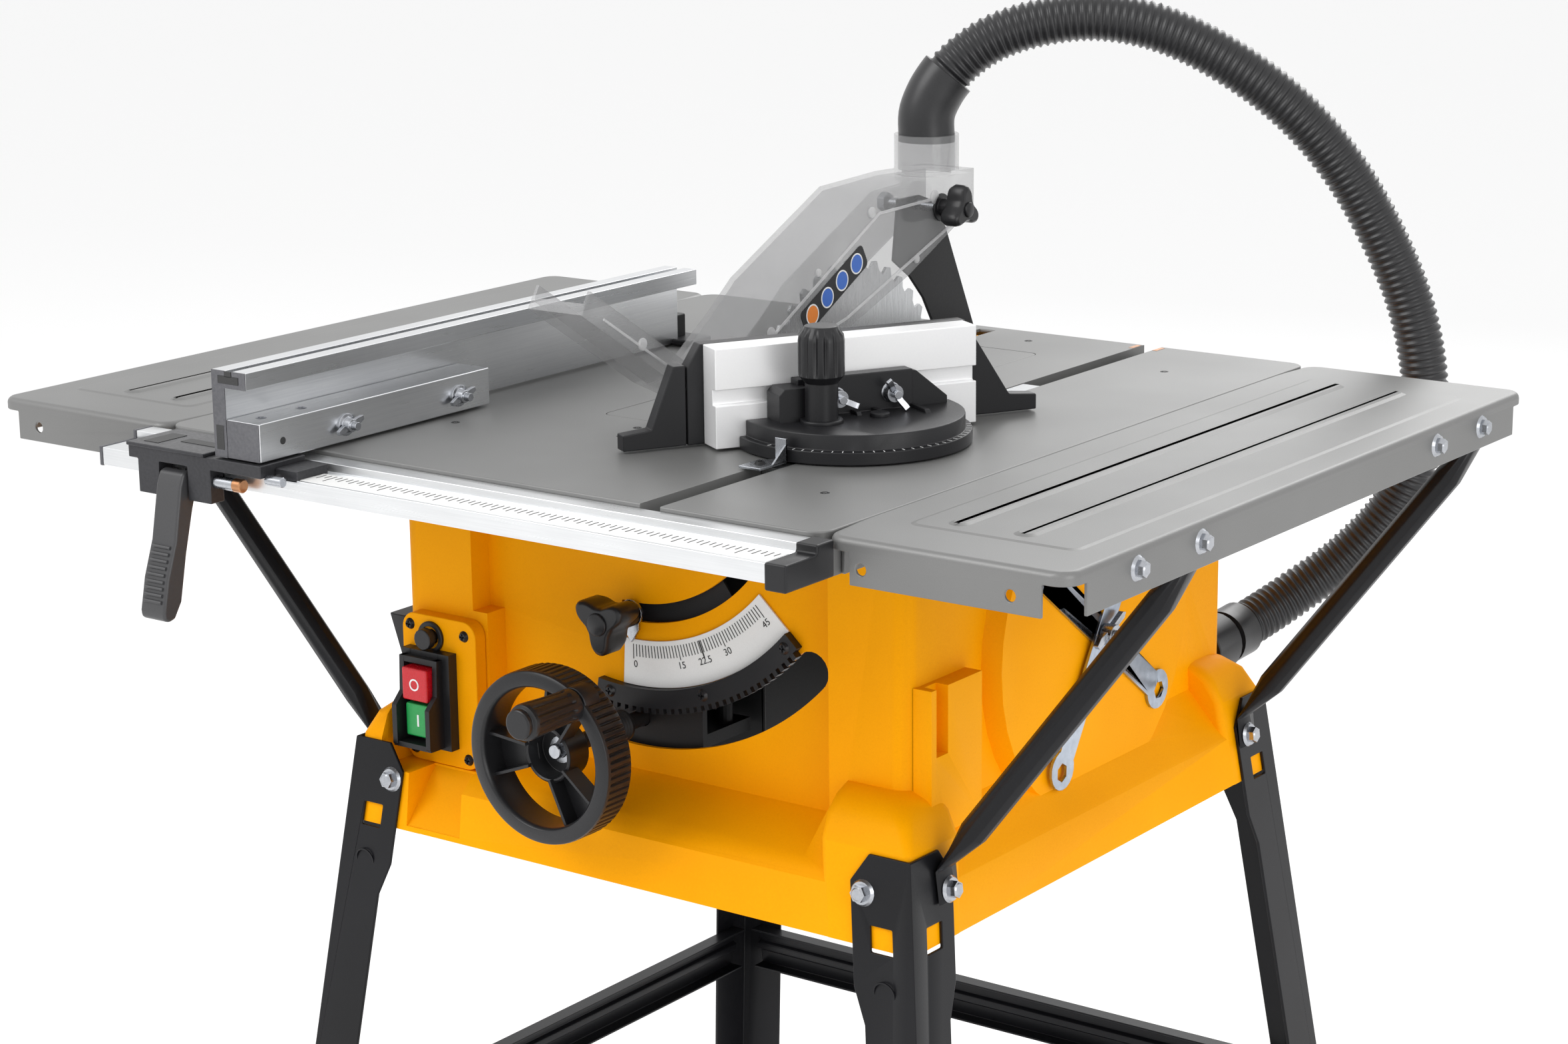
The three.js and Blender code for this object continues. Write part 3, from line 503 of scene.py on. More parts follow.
def smoothRoute(points, perSpan=24):
    path = [Vector(p) for p in points]
    ends = [2 * path[0] - path[1]] + path + [2 * path[-1] - path[-2]]
    line = []
    for i in range(1, len(ends) - 2):
        a, b, c, d = ends[i - 1:i + 3]
        for k in range(perSpan):
            t = k / perSpan
            line.append(0.5 * ((2 * b) + (c - a) * t + (2 * a - 5 * b + 4 * c - d) * t * t
                               + (3 * b - a - 3 * c + d) * t ** 3))
    line.append(path[-1])
    return line


def evenPoints(line, count):
    lengths = [0.0]
    for a, b in zip(line, line[1:]):
        lengths.append(lengths[-1] + (b - a).length)
    found = []
    k = 0
    for i in range(count):
        want = lengths[-1] * i / (count - 1)
        while k < len(line) - 2 and lengths[k + 1] < want:
            k += 1
        share = (want - lengths[k]) / (lengths[k + 1] - lengths[k])
        found.append(line[k].lerp(line[k + 1], share))
    return found, lengths[-1]


def startTree(name, numbers, more=None):  # a tree, its graph and a wire for each input
    tree = bpy.data.node_groups.new(name, "GeometryNodeTree")
    kinds = {"Geometry": "NodeSocketGeometry", **{key: "NodeSocketFloat" for key in numbers}, **(more or {}),
             "Finish": "NodeSocketMaterial"}
    for key, kind in kinds.items():
        socket = tree.interface.new_socket(key, in_out="INPUT", socket_type=kind)
        if key in numbers:
            socket.default_value = numbers[key]
    tree.interface.new_socket("Geometry", in_out="OUTPUT", socket_type="NodeSocketGeometry")
    graph = Graph(tree)
    given = tree.nodes.new("NodeGroupInput")
    return tree, graph, {key: Wire(graph, given.outputs[key]) for key in kinds}


def endTree(tree, graph, shape, finish):
    solid = graph.add("GeometryNodeRealizeInstances", None, shape)
    painted = graph.add("GeometryNodeSetMaterial", None, solid, None, finish)
    result = tree.nodes.new("NodeGroupOutput")
    graph.feed(result.inputs[0], painted)
    return tree


def makeHoseTree():
    tree, graph, given = startTree("ribbed_hose", {"Radius": 0.02, "Rib": 0.0015, "Pitch": 0.006},
                                   {"Sides": "NodeSocketInt"})
    radius, rib, pitch = (given[key] for key in ("Radius", "Rib", "Pitch"))
    fineLine = graph.add("GeometryNodeResampleCurve", {"mode": "LENGTH"}, Curve=given["Geometry"], Length=pitch / 6)
    along = graph.add("GeometryNodeSplineParameter", out=1)
    wave = (along / pitch * (2 * math.pi)).math("COSINE")
    crest = wave.math("MAXIMUM", -0.55) * rib
    shaped = graph.add("GeometryNodeSetCurveRadius", None, Curve=fineLine, Radius=radius - rib + crest)
    ring = graph.add("GeometryNodeCurvePrimitiveCircle", None, Resolution=given["Sides"],
                     Radius=1.0)
    tube = tree.nodes.new("GeometryNodeCurveToMesh")
    graph.feed(tube.inputs["Curve"], shaped)
    graph.feed(tube.inputs["Profile Curve"], ring)
    tube.inputs["Fill Caps"].default_value = True
    if "Scale" in tube.inputs:
        scale = graph.add("GeometryNodeInputRadius")
        graph.feed(tube.inputs["Scale"], scale)
    return endTree(tree, graph, Wire(graph, tube.outputs[0]), given["Finish"])


def runTree(tree, data, inputs):
    holder = bpy.data.objects.new("holder", data)
    addToScene(holder)
    modifier = holder.modifiers.new("maker", "NODES")
    modifier.node_group = tree
    sockets = {s.name: s.identifier for s in tree.interface.items_tree if s.in_out == "INPUT"}
    for name, value in inputs.items():
        modifier[sockets[name]] = value
    bpy.context.view_layer.update()
    evaluated = holder.evaluated_get(bpy.context.evaluated_depsgraph_get())
    mesh = bpy.data.meshes.new_from_object(evaluated)
    bpy.data.objects.remove(holder)
    return mesh


hoseTree = makeHoseTree()
hoseSteps = 400
hoseRoute, hoseLength = evenPoints(smoothRoute(hoseSet["route"]), hoseSteps + 1)


def makeTube(start, end, sizes, sides):  # start and end are shares of the route
    points = [toFrame(p) for p in hoseRoute[round(start * hoseSteps):round(end * hoseSteps) + 1]]
    curve = bpy.data.curves.new("hose_line", "CURVE")
    curve.dimensions = "3D"
    spline = curve.splines.new("POLY")
    spline.points.add(len(points) - 1)
    for knot, p in zip(spline.points, points):
        knot.co = (*p, 1)
    inputs = {key: value * mm for key, value in zip(("Radius", "Rib", "Pitch"), sizes)}
    mesh = runTree(hoseTree, curve, {**inputs, "Sides": sides, "Finish": look("hoseRubber")})
    for polygon in mesh.polygons:
        polygon.use_smooth = True
    return mesh, points


def makeHose():
    replaced = {3: "hose_upper", 4: "hose_lower"}
    sizes = [hoseSet[key] for key in ("radius", "rib", "pitch")]
    for number, (start, end, lower, upper) in enumerate(hoseSet["stretches"], 1):
        mesh, points = makeTube(start, end, sizes, hoseSet["sides"])
        mesh.name = "dust_hose_" + str(number)
        piece = bpy.data.objects.new(mesh.name, mesh)
        addToScene(piece)
        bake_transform(piece)
        if number in replaced:
            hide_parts(replaced[number])
    print("hose", round(hoseLength), "mm long")


makeHose()


# floor

def makeFloor():
    mesh = bpy.data.meshes.new("floor")
    mesh.from_pydata([(-14, -14, 0), (14, -14, 0), (14, 14, 0), (-14, 14, 0)], [], [(0, 1, 2, 3)])
    floor = bpy.data.objects.new("floor", mesh)
    addToScene(floor)
    material = bpy.data.materials.new("pale_floor")
    material.use_nodes = True
    shader = material.node_tree.nodes["Principled BSDF"]
    shader.inputs["Base Color"].default_value = (*lightSet["floor"], 1)
    shader.inputs["Roughness"].default_value = 0.7
    mesh.materials.append(material)


makeFloor()


# carried-over CAD parts

def refineAll(finish, bevels, segments=2):
    for node, bevel in bevels.items():
        refine(node, finish, bevel, segments)


corners = ("front_right", "front_left", "rear_right", "rear_left")
refineAll("tablePaint", {"table_insert": 0.5})
refineAll("amberPlastic", {"switch_plate": 4.0})
refineAll("stopRed", {"stop_button": 1.6})
refineAll("startGreen", {"start_button": 1.6})
refineAll("scaleWhite", {"tilt_scale": 0.2})
refineAll("gripPlastic", {"reset_button": 1.0})
refineAll("blackPlastic", {"dust_port": 0.8, "rail_cap": 1.5, "mitre_head": 0.8, "mitre_backing": 1.0})
refineAll("blackPlastic", {"tilt_rack": 0.5})
refineAll("spannerZinc", {"spanner_large": 0.5, "spanner_small": 0.5})
refineAll("zincPlate", {"spanner_stud": 0.5, "guard_bolt": 0.4, "tilt_pointer": 0.3})
refineAll("standPaint", {"crossbar_" + side: 0.7 for side in ("front", "rear", "left", "right")})
refineAll("standPaint", {"leg_" + corner: 0.8 for corner in corners})
refineAll("standPaint", {"brace_" + corner: 0.6 for corner in corners})
refineAll("footRubber", {"foot_" + corner: 2.0 for corner in corners}, segments=3)
refineAll("extrusionX", {"fence_rail": 0.5})
refineAll("extrusionY", {"fence_profile": 0.4, "fence_face": 0.8})
refineAll("castGrey", {"fence_carriage": 0.8})
refineAll("mitreAluminium", {"mitre_fence": 0.6})
refineAll("turnedSteel", {"mitre_bar": 0.4})
refineAll("mattBlackSteel", {"riving_knife": 0.4, "motor": 2.0})
refineAll("smokyClear", {"blade_guard": 1.6})
for node in ("lift_screw", "lift_carriage", "arbor"):
    dress(node, "turnedSteel")
dress("trunnion", "mattBlackSteel")
dress("saw_blade", "bladeSteel")
# the housing's inner faces get matt black: painted shade inside the cavity
refine("housing", "amberPlastic", 2.0, segments=3, paintedShadeFinish="mattBlackSteel")
rimSet = {"table_top": 290, "extension_right": 470, "extension_left": 470}  # half widths


def onRim(half):
    top, reach, back, slot = 859.5, 15, 627, (140, 168)

    def test(p):
        outer = abs(p.x) > half - reach or p.y < reach or p.y > back
        return p.z > top and outer and not slot[0] < p.x < slot[1]

    return test


for node, half in rimSet.items():
    refine(node, "tablePaint", 4.5, segments=4, rim=onRim(half))
print("frame parts finished")


# fasteners, ticks and ridges: each tree puts one small part on every point of a mesh

def pointMesh(rows):  # rows of (place in millimetres, direction it faces, scale if not whole)
    rows = [(*row, (1, 1, 1))[:3] for row in rows]
    mesh = bpy.data.meshes.new("places")
    mesh.from_pydata([toFrame(place) for place, facing, size in rows], [], [])
    for name, column in (("facing", 1), ("size", 2)):
        layer = mesh.attributes.new(name, "FLOAT_VECTOR", "POINT")
        layer.data.foreach_set("vector", [v for row in rows for v in row[column]])
    return mesh


def scatterTree(name, axis, pivot, makePart, numbers):
    tree, graph, given = startTree(name, numbers)
    part = makePart(graph, given)
    vector = {"data_type": "FLOAT_VECTOR"}
    facing = graph.add("GeometryNodeInputNamedAttribute", vector, "facing")
    scale = graph.add("GeometryNodeInputNamedAttribute", vector, "size")
    turn = graph.add("FunctionNodeAlignRotationToVector", {"axis": axis, "pivot_axis": pivot}, Vector=facing)
    copies = graph.add("GeometryNodeInstanceOnPoints", None, Points=given["Geometry"],
                       Instance=part, Rotation=turn, Scale=scale)
    return endTree(tree, graph, copies, given["Finish"])


def joined(graph, parts):
    node = graph.tree.nodes.new("GeometryNodeJoinGeometry")
    for part in parts:
        graph.tree.links.new(part.socket, node.inputs[0])
    return Wire(graph, node.outputs[0])


def cone(graph, sides, bottom, top, depth, lift=None):
    made = graph.add("GeometryNodeMeshCone", None, sides, Radius_Bottom=bottom, Radius_Top=top, Depth=depth)
    if lift is None:
        return made
    up = graph.add("ShaderNodeCombineXYZ", None, Z=lift)
    return graph.add("GeometryNodeTransform", None, made, Translation=up)


def hexBolt(graph, size):
    flange = cone(graph, 20, size["Radius"], size["Radius"] * 0.84, size["Height"] * 0.3)
    head = cone(graph, 6, size["Radius"] * 0.66, size["Radius"] * 0.63, size["Height"])
    crown = cone(graph, 16, size["Radius"] * 0.5, size["Radius"] * 0.4, size["Height"] * 0.12, size["Height"])
    return joined(graph, [flange, head, crown])


def crossScrew(graph, size):
    head = cone(graph, 18, size["Radius"], size["Radius"] * 0.66, size["Height"])
    cuts = []
    for wide, deep in ((1.15, 0.3), (0.3, 1.15)):
        shape = graph.add("ShaderNodeCombineXYZ", None, size["Radius"] * wide, size["Radius"] * deep,
                          size["Height"])
        bar = graph.add("GeometryNodeMeshCube", None, shape)
        up = graph.add("ShaderNodeCombineXYZ", None, Z=size["Height"] * 0.95)
        cuts.append(graph.add("GeometryNodeTransform", None, bar, Translation=up))
    node = graph.tree.nodes.new("GeometryNodeMeshBoolean")
    node.operation = "DIFFERENCE"
    graph.tree.links.new(head.socket, node.inputs[0])
    for bar in cuts:
        graph.tree.links.new(bar.socket, node.inputs[1])
    return Wire(graph, node.outputs[0])


def tick(graph, size):  # a unit cube, sized by each point
    return graph.add("GeometryNodeMeshCube", None, (1, 1, 1))


def ridge(graph, size):
    return graph.add("GeometryNodeMeshCylinder", None, 10, Radius=size["Radius"], Depth=size["Length"])


boltTree = scatterTree("flanged_bolts", "Z", "AUTO", hexBolt, {"Radius": 0.009, "Height": 0.006})
screwTree = scatterTree("crosshead_screws", "Z", "AUTO", crossScrew, {"Radius": 0.004, "Height": 0.002})
dialTree = scatterTree("dial_ticks", "X", "Y", tick, {})
rulerTree = scatterTree("ruler_ticks", "X", "Z", tick, {})
ridgeTree = scatterTree("grip_ridges", "Z", "AUTO", ridge, {"Radius": 0.0013, "Length": 0.018})


def scatter(name, tree, rows, inputs, finish, body):
    mesh = runTree(tree, pointMesh(rows), {**{k: v * mm for k, v in inputs.items()}, "Finish": look(finish)})
    mesh.name = name
    mesh.set_sharp_from_angle(angle=math.radians(32))
    return addObject(name, mesh, body)


# tables: pressed ridges, screws and the skirts' bolts

tableSet = {
    "screws": [(59.5, 606), (212.6, 557), (1, 178), (8.6, 150), (-120, 120), (-120, 560), (228, 90)],
    "skirtBolts": [(79, 847), (158, 847), (494, 846), (567, 846)],
    "pad": (318, 446, 48, 594), "ridges": [(340, 356), (388, 406)],
}


def pressed(x0, x1, y0, y1, low, high, slope, r):
    return stacked("z", [(low, roundedRect(x0, x1, y0, y1, r)),
                         (high, roundedRect(x0 + slope, x1 - slope, y0 + slope, y1 - slope, r - slope / 2))])


def makeTableDetails():
    x0, x1, y0, y1 = tableSet["pad"]
    for side, name in ((1, "right"), (-1, "left")):
        shapes = []
        for a, b, c, d, low, high, slope, r in (
            [(x0, x1, y0, y1, 859.7, 860.7, 4, 9)]
            + [(a, b, y0 + 12, y1 - 12, 860.5, 862.0, 3.5, 7.9) for a, b in tableSet["ridges"]]
        ):
            xs = sorted((side * a, side * b))
            shapes.append(pressed(xs[0], xs[1], c, d, low, high, slope, r))
        build("pressed_ridges_" + name, shapes, "tablePaint", "root", bevel=1.2, angle=10)
        rows = [((side * 470, y, z), (side, 0, 0)) for y, z in tableSet["skirtBolts"]]
        scatter("skirt_bolts_" + name, boltTree, rows, {"Radius": 8.5, "Height": 6}, "zincPlate", "root")
    rows = [((x, y, 859.7), (0, 0, 1)) for x, y in tableSet["screws"]]
    scatter("table_screws", screwTree, rows, {"Radius": 4.2, "Height": 0.5}, "mattBlackSteel", "root")
    marks = [box(x, x + 4, 625, 638, 859.9, 860.2) for x in (141, 162.5)]
    build("slot_end_marks", marks, "copperPin", "root")


makeTableDetails()
print("table details")


# stand: bolts through the legs, and an embossed ring under each window

legSet = {"centreX": 35, "centreY": 348, "halfX": 252, "halfY": 246, "at": 600, "splay": 0.12,
          "topBolt": (40, 585), "barBolt": (21, 275), "braceStep": 4.4, "ringAt": (25, 520)}


def onLeg(signX, signY, across, z, flange):  # a place on a leg's outer face, and the way that face looks
    out = legSet["splay"] * (legSet["at"] - z)
    x = legSet["centreX"] + signX * (legSet["halfX"] + out)
    y = legSet["centreY"] + signY * (legSet["halfY"] + out)
    if flange == "front":
        return (x - signX * across, y, z), (0, signY, legSet["splay"])
    return (x, y - signY * across, z), (signX, 0, legSet["splay"])


def makeStandDetails():
    large, small, rings = [], [], []
    for signX in (1, -1):
        for signY in (1, -1):
            for flange in ("front", "side"):
                place, facing = onLeg(signX, signY, *legSet["topBolt"], flange)
                if flange == "side":
                    place = (place[0] + signX * legSet["braceStep"], *place[1:])
                large.append((place, facing))
                place, facing = onLeg(signX, signY, *legSet["barBolt"], flange)
                small.append((place, facing))
            (x, y, z), facing = onLeg(signX, signY, *legSet["ringAt"], "front")
            profile = [(8.8, y - 0.5), (8.8, y + 0.5), (7.8, y + 0.5), (7.8, y - 0.5)]
            ring = turned("y", (x, z), profile, 28, closed=True)
            rings.append(turnedAbout(ring, "X", -signY * math.degrees(math.atan(legSet["splay"])), (x, y, z)))
    scatter("leg_bolts", boltTree, large, {"Radius": 9.5, "Height": 6.5}, "zincPlate", "root")
    scatter("bar_bolts", boltTree, small, {"Radius": 7.5, "Height": 5.0}, "zincPlate", "root")
    build("leg_rings", rings, "standPaint", "root")


makeStandDetails()


# switch

switchSet = {"screws": [(-184, 697), (-131, 695), (-183, 601), (-130, 600)], "ring": (-163, 657.8, 4.6, 3.4)}


def makeSwitch():
    wall = [(129, 609), (129, 677), (118, 677), (117, 650), (108, 641), (108, 611), (110, 609)]
    rim = [(-185, -176.4, 607, 681), (-149.6, -139, 607, 681), (-177, -149, 607, 615.6), (-177, -149, 671.4, 681),
           (-177, -149, 642.5, 644.7)]
    shapes = [box(x0, x1, 124, 132.8, z0, z1) for x0, x1, z0, z1 in rim]
    shapes += [prism("x", wall, -182.5, -178), prism("x", wall, -149.8, -145.5),
               box(-182.5, -145.5, 118, 129, 672.5, 677), box(-182.5, -145.5, 109, 129, 609, 613)]
    build("switch_bezel", shapes, "blackPlastic", "root", replaces=["switch_frame"], bevel=0.7)
    rows = [((x, 133, z), (0, -1, 0)) for x, z in switchSet["screws"]]
    scatter("switch_screws", screwTree, rows, {"Radius": 4.4, "Height": 2.2}, "blackPlastic", "root")
    x, z, outer, inner = switchSet["ring"]
    ring = [(outer, 111.7), (outer, 112.4), (inner, 112.4), (inner, 111.7)]
    build("stop_mark", [turned("y", (x, z), ring, 32, closed=True)], "markWhite", "stop")
    build("start_mark", [box(x - 0.8, x + 0.8, 114.7, 115.4, 625, 634)], "markWhite", "start")
    collar = [(11.2, 130.4), (12, 131), (12, 132.9), (8.7, 132.9), (8.7, 130.4)]
    build("reset_collar", [turned("y", (-163, 690), collar, 32, closed=True)], "blackPlastic", "root")
    pocket = stacked("z", [(655, roundedRect(-207, -200.2, 150, 172, 2)),
                           (697, roundedRect(-218, -200.2, 146, 178, 3))])
    build("stick_pocket", [pocket], "blackPlastic", "root", bevel=0.8)


makeSwitch()


# tilt scale, rack screws and what shows behind the curved slots

scaleSet = {"centre": (5, 860), "front": 163.2, "inner": 155.5, "labelAt": 170.5, "labelSize": 7.2,
            "labels": [("0", 0.6), ("15", 15), ("22.5", 22.5), ("30", 30), ("45", 44.4)]}


def onArc(radius, degrees):
    a = math.radians(degrees)
    return scaleSet["centre"][0] + radius * math.sin(a), scaleSet["centre"][1] - radius * math.cos(a)


def label(text, size, place):  # text as corners and faces, its place a matrix in metres
    curve = bpy.data.curves.new("label", "FONT")
    curve.body = text
    curve.size = size * mm
    curve.extrude = 0.00015
    curve.align_x = "CENTER"
    curve.align_y = "CENTER"
    holder = bpy.data.objects.new("label", curve)
    addToScene(holder)
    bpy.context.view_layer.update()
    mesh = bpy.data.meshes.new_from_object(holder.evaluated_get(bpy.context.evaluated_depsgraph_get()))
    bpy.data.objects.remove(holder)
    mesh.transform(place)
    return mesh


def buildLabels(name, labels, finish, body):
    form = bmesh.new()
    for text, size, place in labels:
        form.from_mesh(label(text, size, place))
    bmesh.ops.remove_doubles(form, verts=form.verts, dist=1e-7)
    bmesh.ops.recalc_face_normals(form, faces=form.faces)
    mesh = bpy.data.meshes.new(name)
    form.to_mesh(mesh)
    form.free()
    mesh.materials.clear()
    mesh.materials.append(look(finish))
    return addObject(name, mesh, body)


def sectorPlate(inner, outer, start, end, y0, y1, steps=28):
    line = [onArc(outer, start + (end - start) * i / steps) for i in range(steps + 1)]
    line += [onArc(inner, end - (end - start) * i / steps) for i in range(steps + 1)]
    return prism("y", line, y0, y1)


def makeScale():
    rows = []
    for degrees in range(46):
        long = 11 if degrees % 15 == 0 else 9
        radius = scaleSet["inner"] + long / 2
        x, z = onArc(radius, degrees)
        out = (x - scaleSet["centre"][0], 0, z - scaleSet["centre"][1])
        rows.append(((x, scaleSet["front"], z), out, (long * mm, 0.0005, 0.0006)))
    x, z = onArc(scaleSet["inner"] + 6.5, 22.5)
    out = (x - scaleSet["centre"][0], 0, z - scaleSet["centre"][1])
    rows.append(((x, scaleSet["front"], z), out, (13 * mm, 0.0005, 0.0011)))
    scatter("scale_ticks", dialTree, rows, {}, "inkAndShadeBlack", "root")
    labels = []
    for text, degrees in scaleSet["labels"]:
        x, z = onArc(scaleSet["labelAt"], degrees)
        place = (Matrix.Translation(toFrame((x, scaleSet["front"] - 0.05, z)))
                 @ Matrix.Rotation(math.radians(90), 4, "X") @ Matrix.Rotation(math.radians(degrees), 4, "Z"))
        labels.append((text, scaleSet["labelSize"], place))
    buildLabels("scale_numbers", labels, "inkAndShadeBlack", "root")
    rows = [((x, 157.9, z), (0, -1, 0)) for x, z in (onArc(193.4, d) for d in (-5.5, 20, 45.5))]
    scatter("rack_screws", screwTree, rows, {"Radius": 4.6, "Height": 1.8}, "gripPlastic", "root")


def makeShroud():
    front = [(-12, 578), (40, 578), (43, 581), (43, 806), (5, 838), (-12, 838)]
    side = [(268, 806), (268, 582), (274, 578), (430, 576), (540, 590), (566, 640), (566, 806)]
    floor = [(268, 578), (430, 576), (540, 590), (566, 640), (564, 643), (538, 593), (430, 579), (268, 581)]
    shapes = [prism("y", front, 268, 271), prism("x", side, 40, 43), prism("x", floor, -12, 41)]
    build("blade_shroud", shapes, "mattBlackSteel", "tilt_unit", bevel=1.0)
    # a black plate behind the tilt slot, turning with the tilt unit so it sits behind the slot at every tilt:
    # painted shade seen through the slot
    shadePlate = sectorPlate(118, 147, -50, 38, 169.4, 171.4)
    build("slot_painted_shade", [shadePlate], "mattBlackSteel", "tilt_unit")


makeScale()
makeShroud()
print("switch and tilt scale")


# knobs and handwheel

knobSet = {"tiltLobes": (12.0, 24.0), "guardLobes": (9.5, 19.0), "tiltAt": (5, 728), "guardAt": (524, 976)}
wheelSet = {"at": (5, 647), "radius": 63, "knurls": 72, "spokes": (68, 188, 308),
            "gripAt": 54, "gripTurn": 55, "gripFlutes": 12}


def lobedKnob(axis, centre, inner, outer, turn, face, back, cap):
    step = 1 if back > face else -1
    rings = [(face + 0.4 * step, 3.5), (face + 2 * step, 1), (face + 4.5 * step, 0), (back - 5 * step, 0),
             (back, 3)]
    body = stacked(axis, [(at, lobed(centre, inner - less * 0.5, outer - less, 3, turn)) for at, less in rings])
    edge = [(cap - 1.5, face - 1.6 * step), (cap, face - 0.8 * step), (cap, face + 2 * step)]
    return [body, turned(axis, centre, edge, 28)]


def makeKnobs():
    shapes = lobedKnob("y", knobSet["tiltAt"], *knobSet["tiltLobes"], 30, 122, 148, 8.5)
    shapes += [turned("y", knobSet["tiltAt"], [(9.5, 147), (9.5, 159.5), (5, 159.5), (5, 184)], 24)]
    build("tilt_knob", shapes, "gripPlastic", "tilt_lock", replaces=["tilt_lock_knob"], bevel=0.8)
    shapes = lobedKnob("x", knobSet["guardAt"], *knobSet["guardLobes"], 90, 56.2, 39, 6)
    neck = [(11, 29.5), (11, 31.3), (7, 31.3), (7, 40), (4.5, 40), (4.5, 29.5)]
    shapes += [turned("x", knobSet["guardAt"], neck, 24, closed=True)]
    build("guard_star_knob", shapes, "gripPlastic", "guard_pivot", replaces=["guard_knob"],
          bevel=0.6)


def knurl(angle, radius, along):
    if radius < wheelSet["radius"] - 2 or not 58 < along < 80:
        return 0
    return 1.4 if math.sin(wheelSet["knurls"] * angle) > 0.35 else 0


def gripFlute(angle, radius, along):
    if radius < 10 or not 8 < along < 47:
        return 0
    return 1.5 * max(0, math.cos(wheelSet["gripFlutes"] * angle)) ** 2


def spoke(degrees):  # a U section, open to the front
    near, far = 16, wheelSet["radius"] - 12
    x, z = wheelSet["at"]
    back = prism("y", [(near, -8), (far, -17), (far, 17), (near, 8)], 74, 77)
    up = prism("y", [(near, 6.5), (far, 14.5), (far, 17), (near, 9)], 61, 76)
    down = prism("y", [(near, -9), (far, -17), (far, -14.5), (near, -6.5)], 61, 76)
    return [shifted(turnedAbout(part, "Y", -degrees, (0, 0, 0)), x, 0, z) for part in (back, up, down)]


def makeWheel():
    at, r = wheelSet["at"], wheelSet["radius"]
    rim = [(r - 3.0, 54), (r - 0.6, 55.5), (r, 58), (r, 60), (r, 76), (r, 79), (r - 1, 81.5), (r - 3, 82.5),
           (r - 10, 82.5), (r - 12, 81), (r - 12.5, 78), (r - 12.5, 58), (r - 12, 55.5), (r - 10.5, 54)]
    shapes = [turned("y", at, rim, 6 * wheelSet["knurls"], flute=knurl, closed=True)]
    hub = [(17.5, 65), (19, 64), (20.5, 65.5), (20.5, 86), (6.4, 86), (6.4, 80), (17, 80)]
    shapes += [turned("y", at, hub, 40, closed=True)]
    for degrees in wheelSet["spokes"]:
        shapes += spoke(degrees)
    a = math.radians(wheelSet["gripTurn"])
    hx, hz = at[0] + wheelSet["gripAt"] * math.cos(a), at[1] + wheelSet["gripAt"] * math.sin(a)
    shapes += [turned("y", (hx, hz), [(12, 56), (12.5, 57), (12.5, 72), (4.6, 72), (4.6, 56)], 28, closed=True)]
    build("hand_wheel", shapes, "gripPlastic", "crank", replaces=["handwheel"], bevel=0.5, angle=38)
    grip = [(9.5, -1.6), (10.6, -0.8), (10.8, 1.5), (10.0, 2.2), (10.2, 3.4), (12.6, 4.4), (13.2, 7),
            (13.2, 9), (12.2, 27), (11.6, 46), (12, 49), (12, 54), (9, 55.8), (4, 55.8), (4, 74)]
    build("turning_grip", [turned("y", (hx, hz), grip, 96, flute=gripFlute)], "gripPlastic", "crank_grip",
          replaces=["crank_handle"], bevel=0.4)
    shaft = [(6, 79), (6, 131), (11.5, 132), (11.5, 135), (10, 136), (11.5, 137.5), (10, 139), (11.5, 140.5),
             (10, 142), (11.5, 143.5), (10, 145), (11.5, 146.5), (11.5, 149), (6, 150), (6, 223), (9, 223.5),
             (9, 231.5)]
    head = [turned("y", at, [(4.8, 72), (5.6, 73), (5.6, 79.4), (10, 79.4), (10, 80.4), (5, 80.4)], 24)]
    build("crank_axle", [turned("y", at, shaft, 28)], "mattBlackSteel", "crank",
          replaces=["crank_shaft"], bevel=0.3)
    build("axle_screw", head, "zincPlate", "crank", bevel=0.3)


makeKnobs()
makeWheel()
print("knobs and wheel")


# mitre gauge: shapes are laid out along its fence and then turned with it

mitreSet = {"at": (153.75, 228), "turn": 60, "knob": (-34, -22), "flutes": 14,
            "nuts": [(-15, 893, 24), (27, 893, 56)],  # place along the fence, height, turn
            "disc": 83, "dial": range(-160, -19, 5)}


def inMitre(shape):
    return shifted(turnedAbout(shape, "Z", mitreSet["turn"], (0, 0, 0)), *mitreSet["at"])


def wingNut(x, z, tilt):
    base = turned("y", (0, 0), [(6.2, -12), (6.2, -5), (7.4, -4.2), (7.4, -3.6)], 20)
    thread = rod("y", (0, 0), 3, -17, -4, 14)
    wing = [(3, -3), (8, -2), (11.5, 3), (13.5, 7), (12.5, 9.5), (10, 9), (6, 4.5), (3, 3)]
    wings = [prism("z", [(side * a, -0.55 * b - 12) for a, b in wing], -2.1, 2.1) for side in (1, -1)]
    parts = [base, thread] + wings
    return [inMitre(shifted(turnedAbout(p, "Y", tilt, (0, 0, 0)), x, 0, z)) for p in parts]


def mitreFlute(angle, radius, along):
    if radius < 14 or not 914 < along < 943:
        return 0
    return 1.7 * max(0, math.cos(mitreSet["flutes"] * angle)) ** 1.5


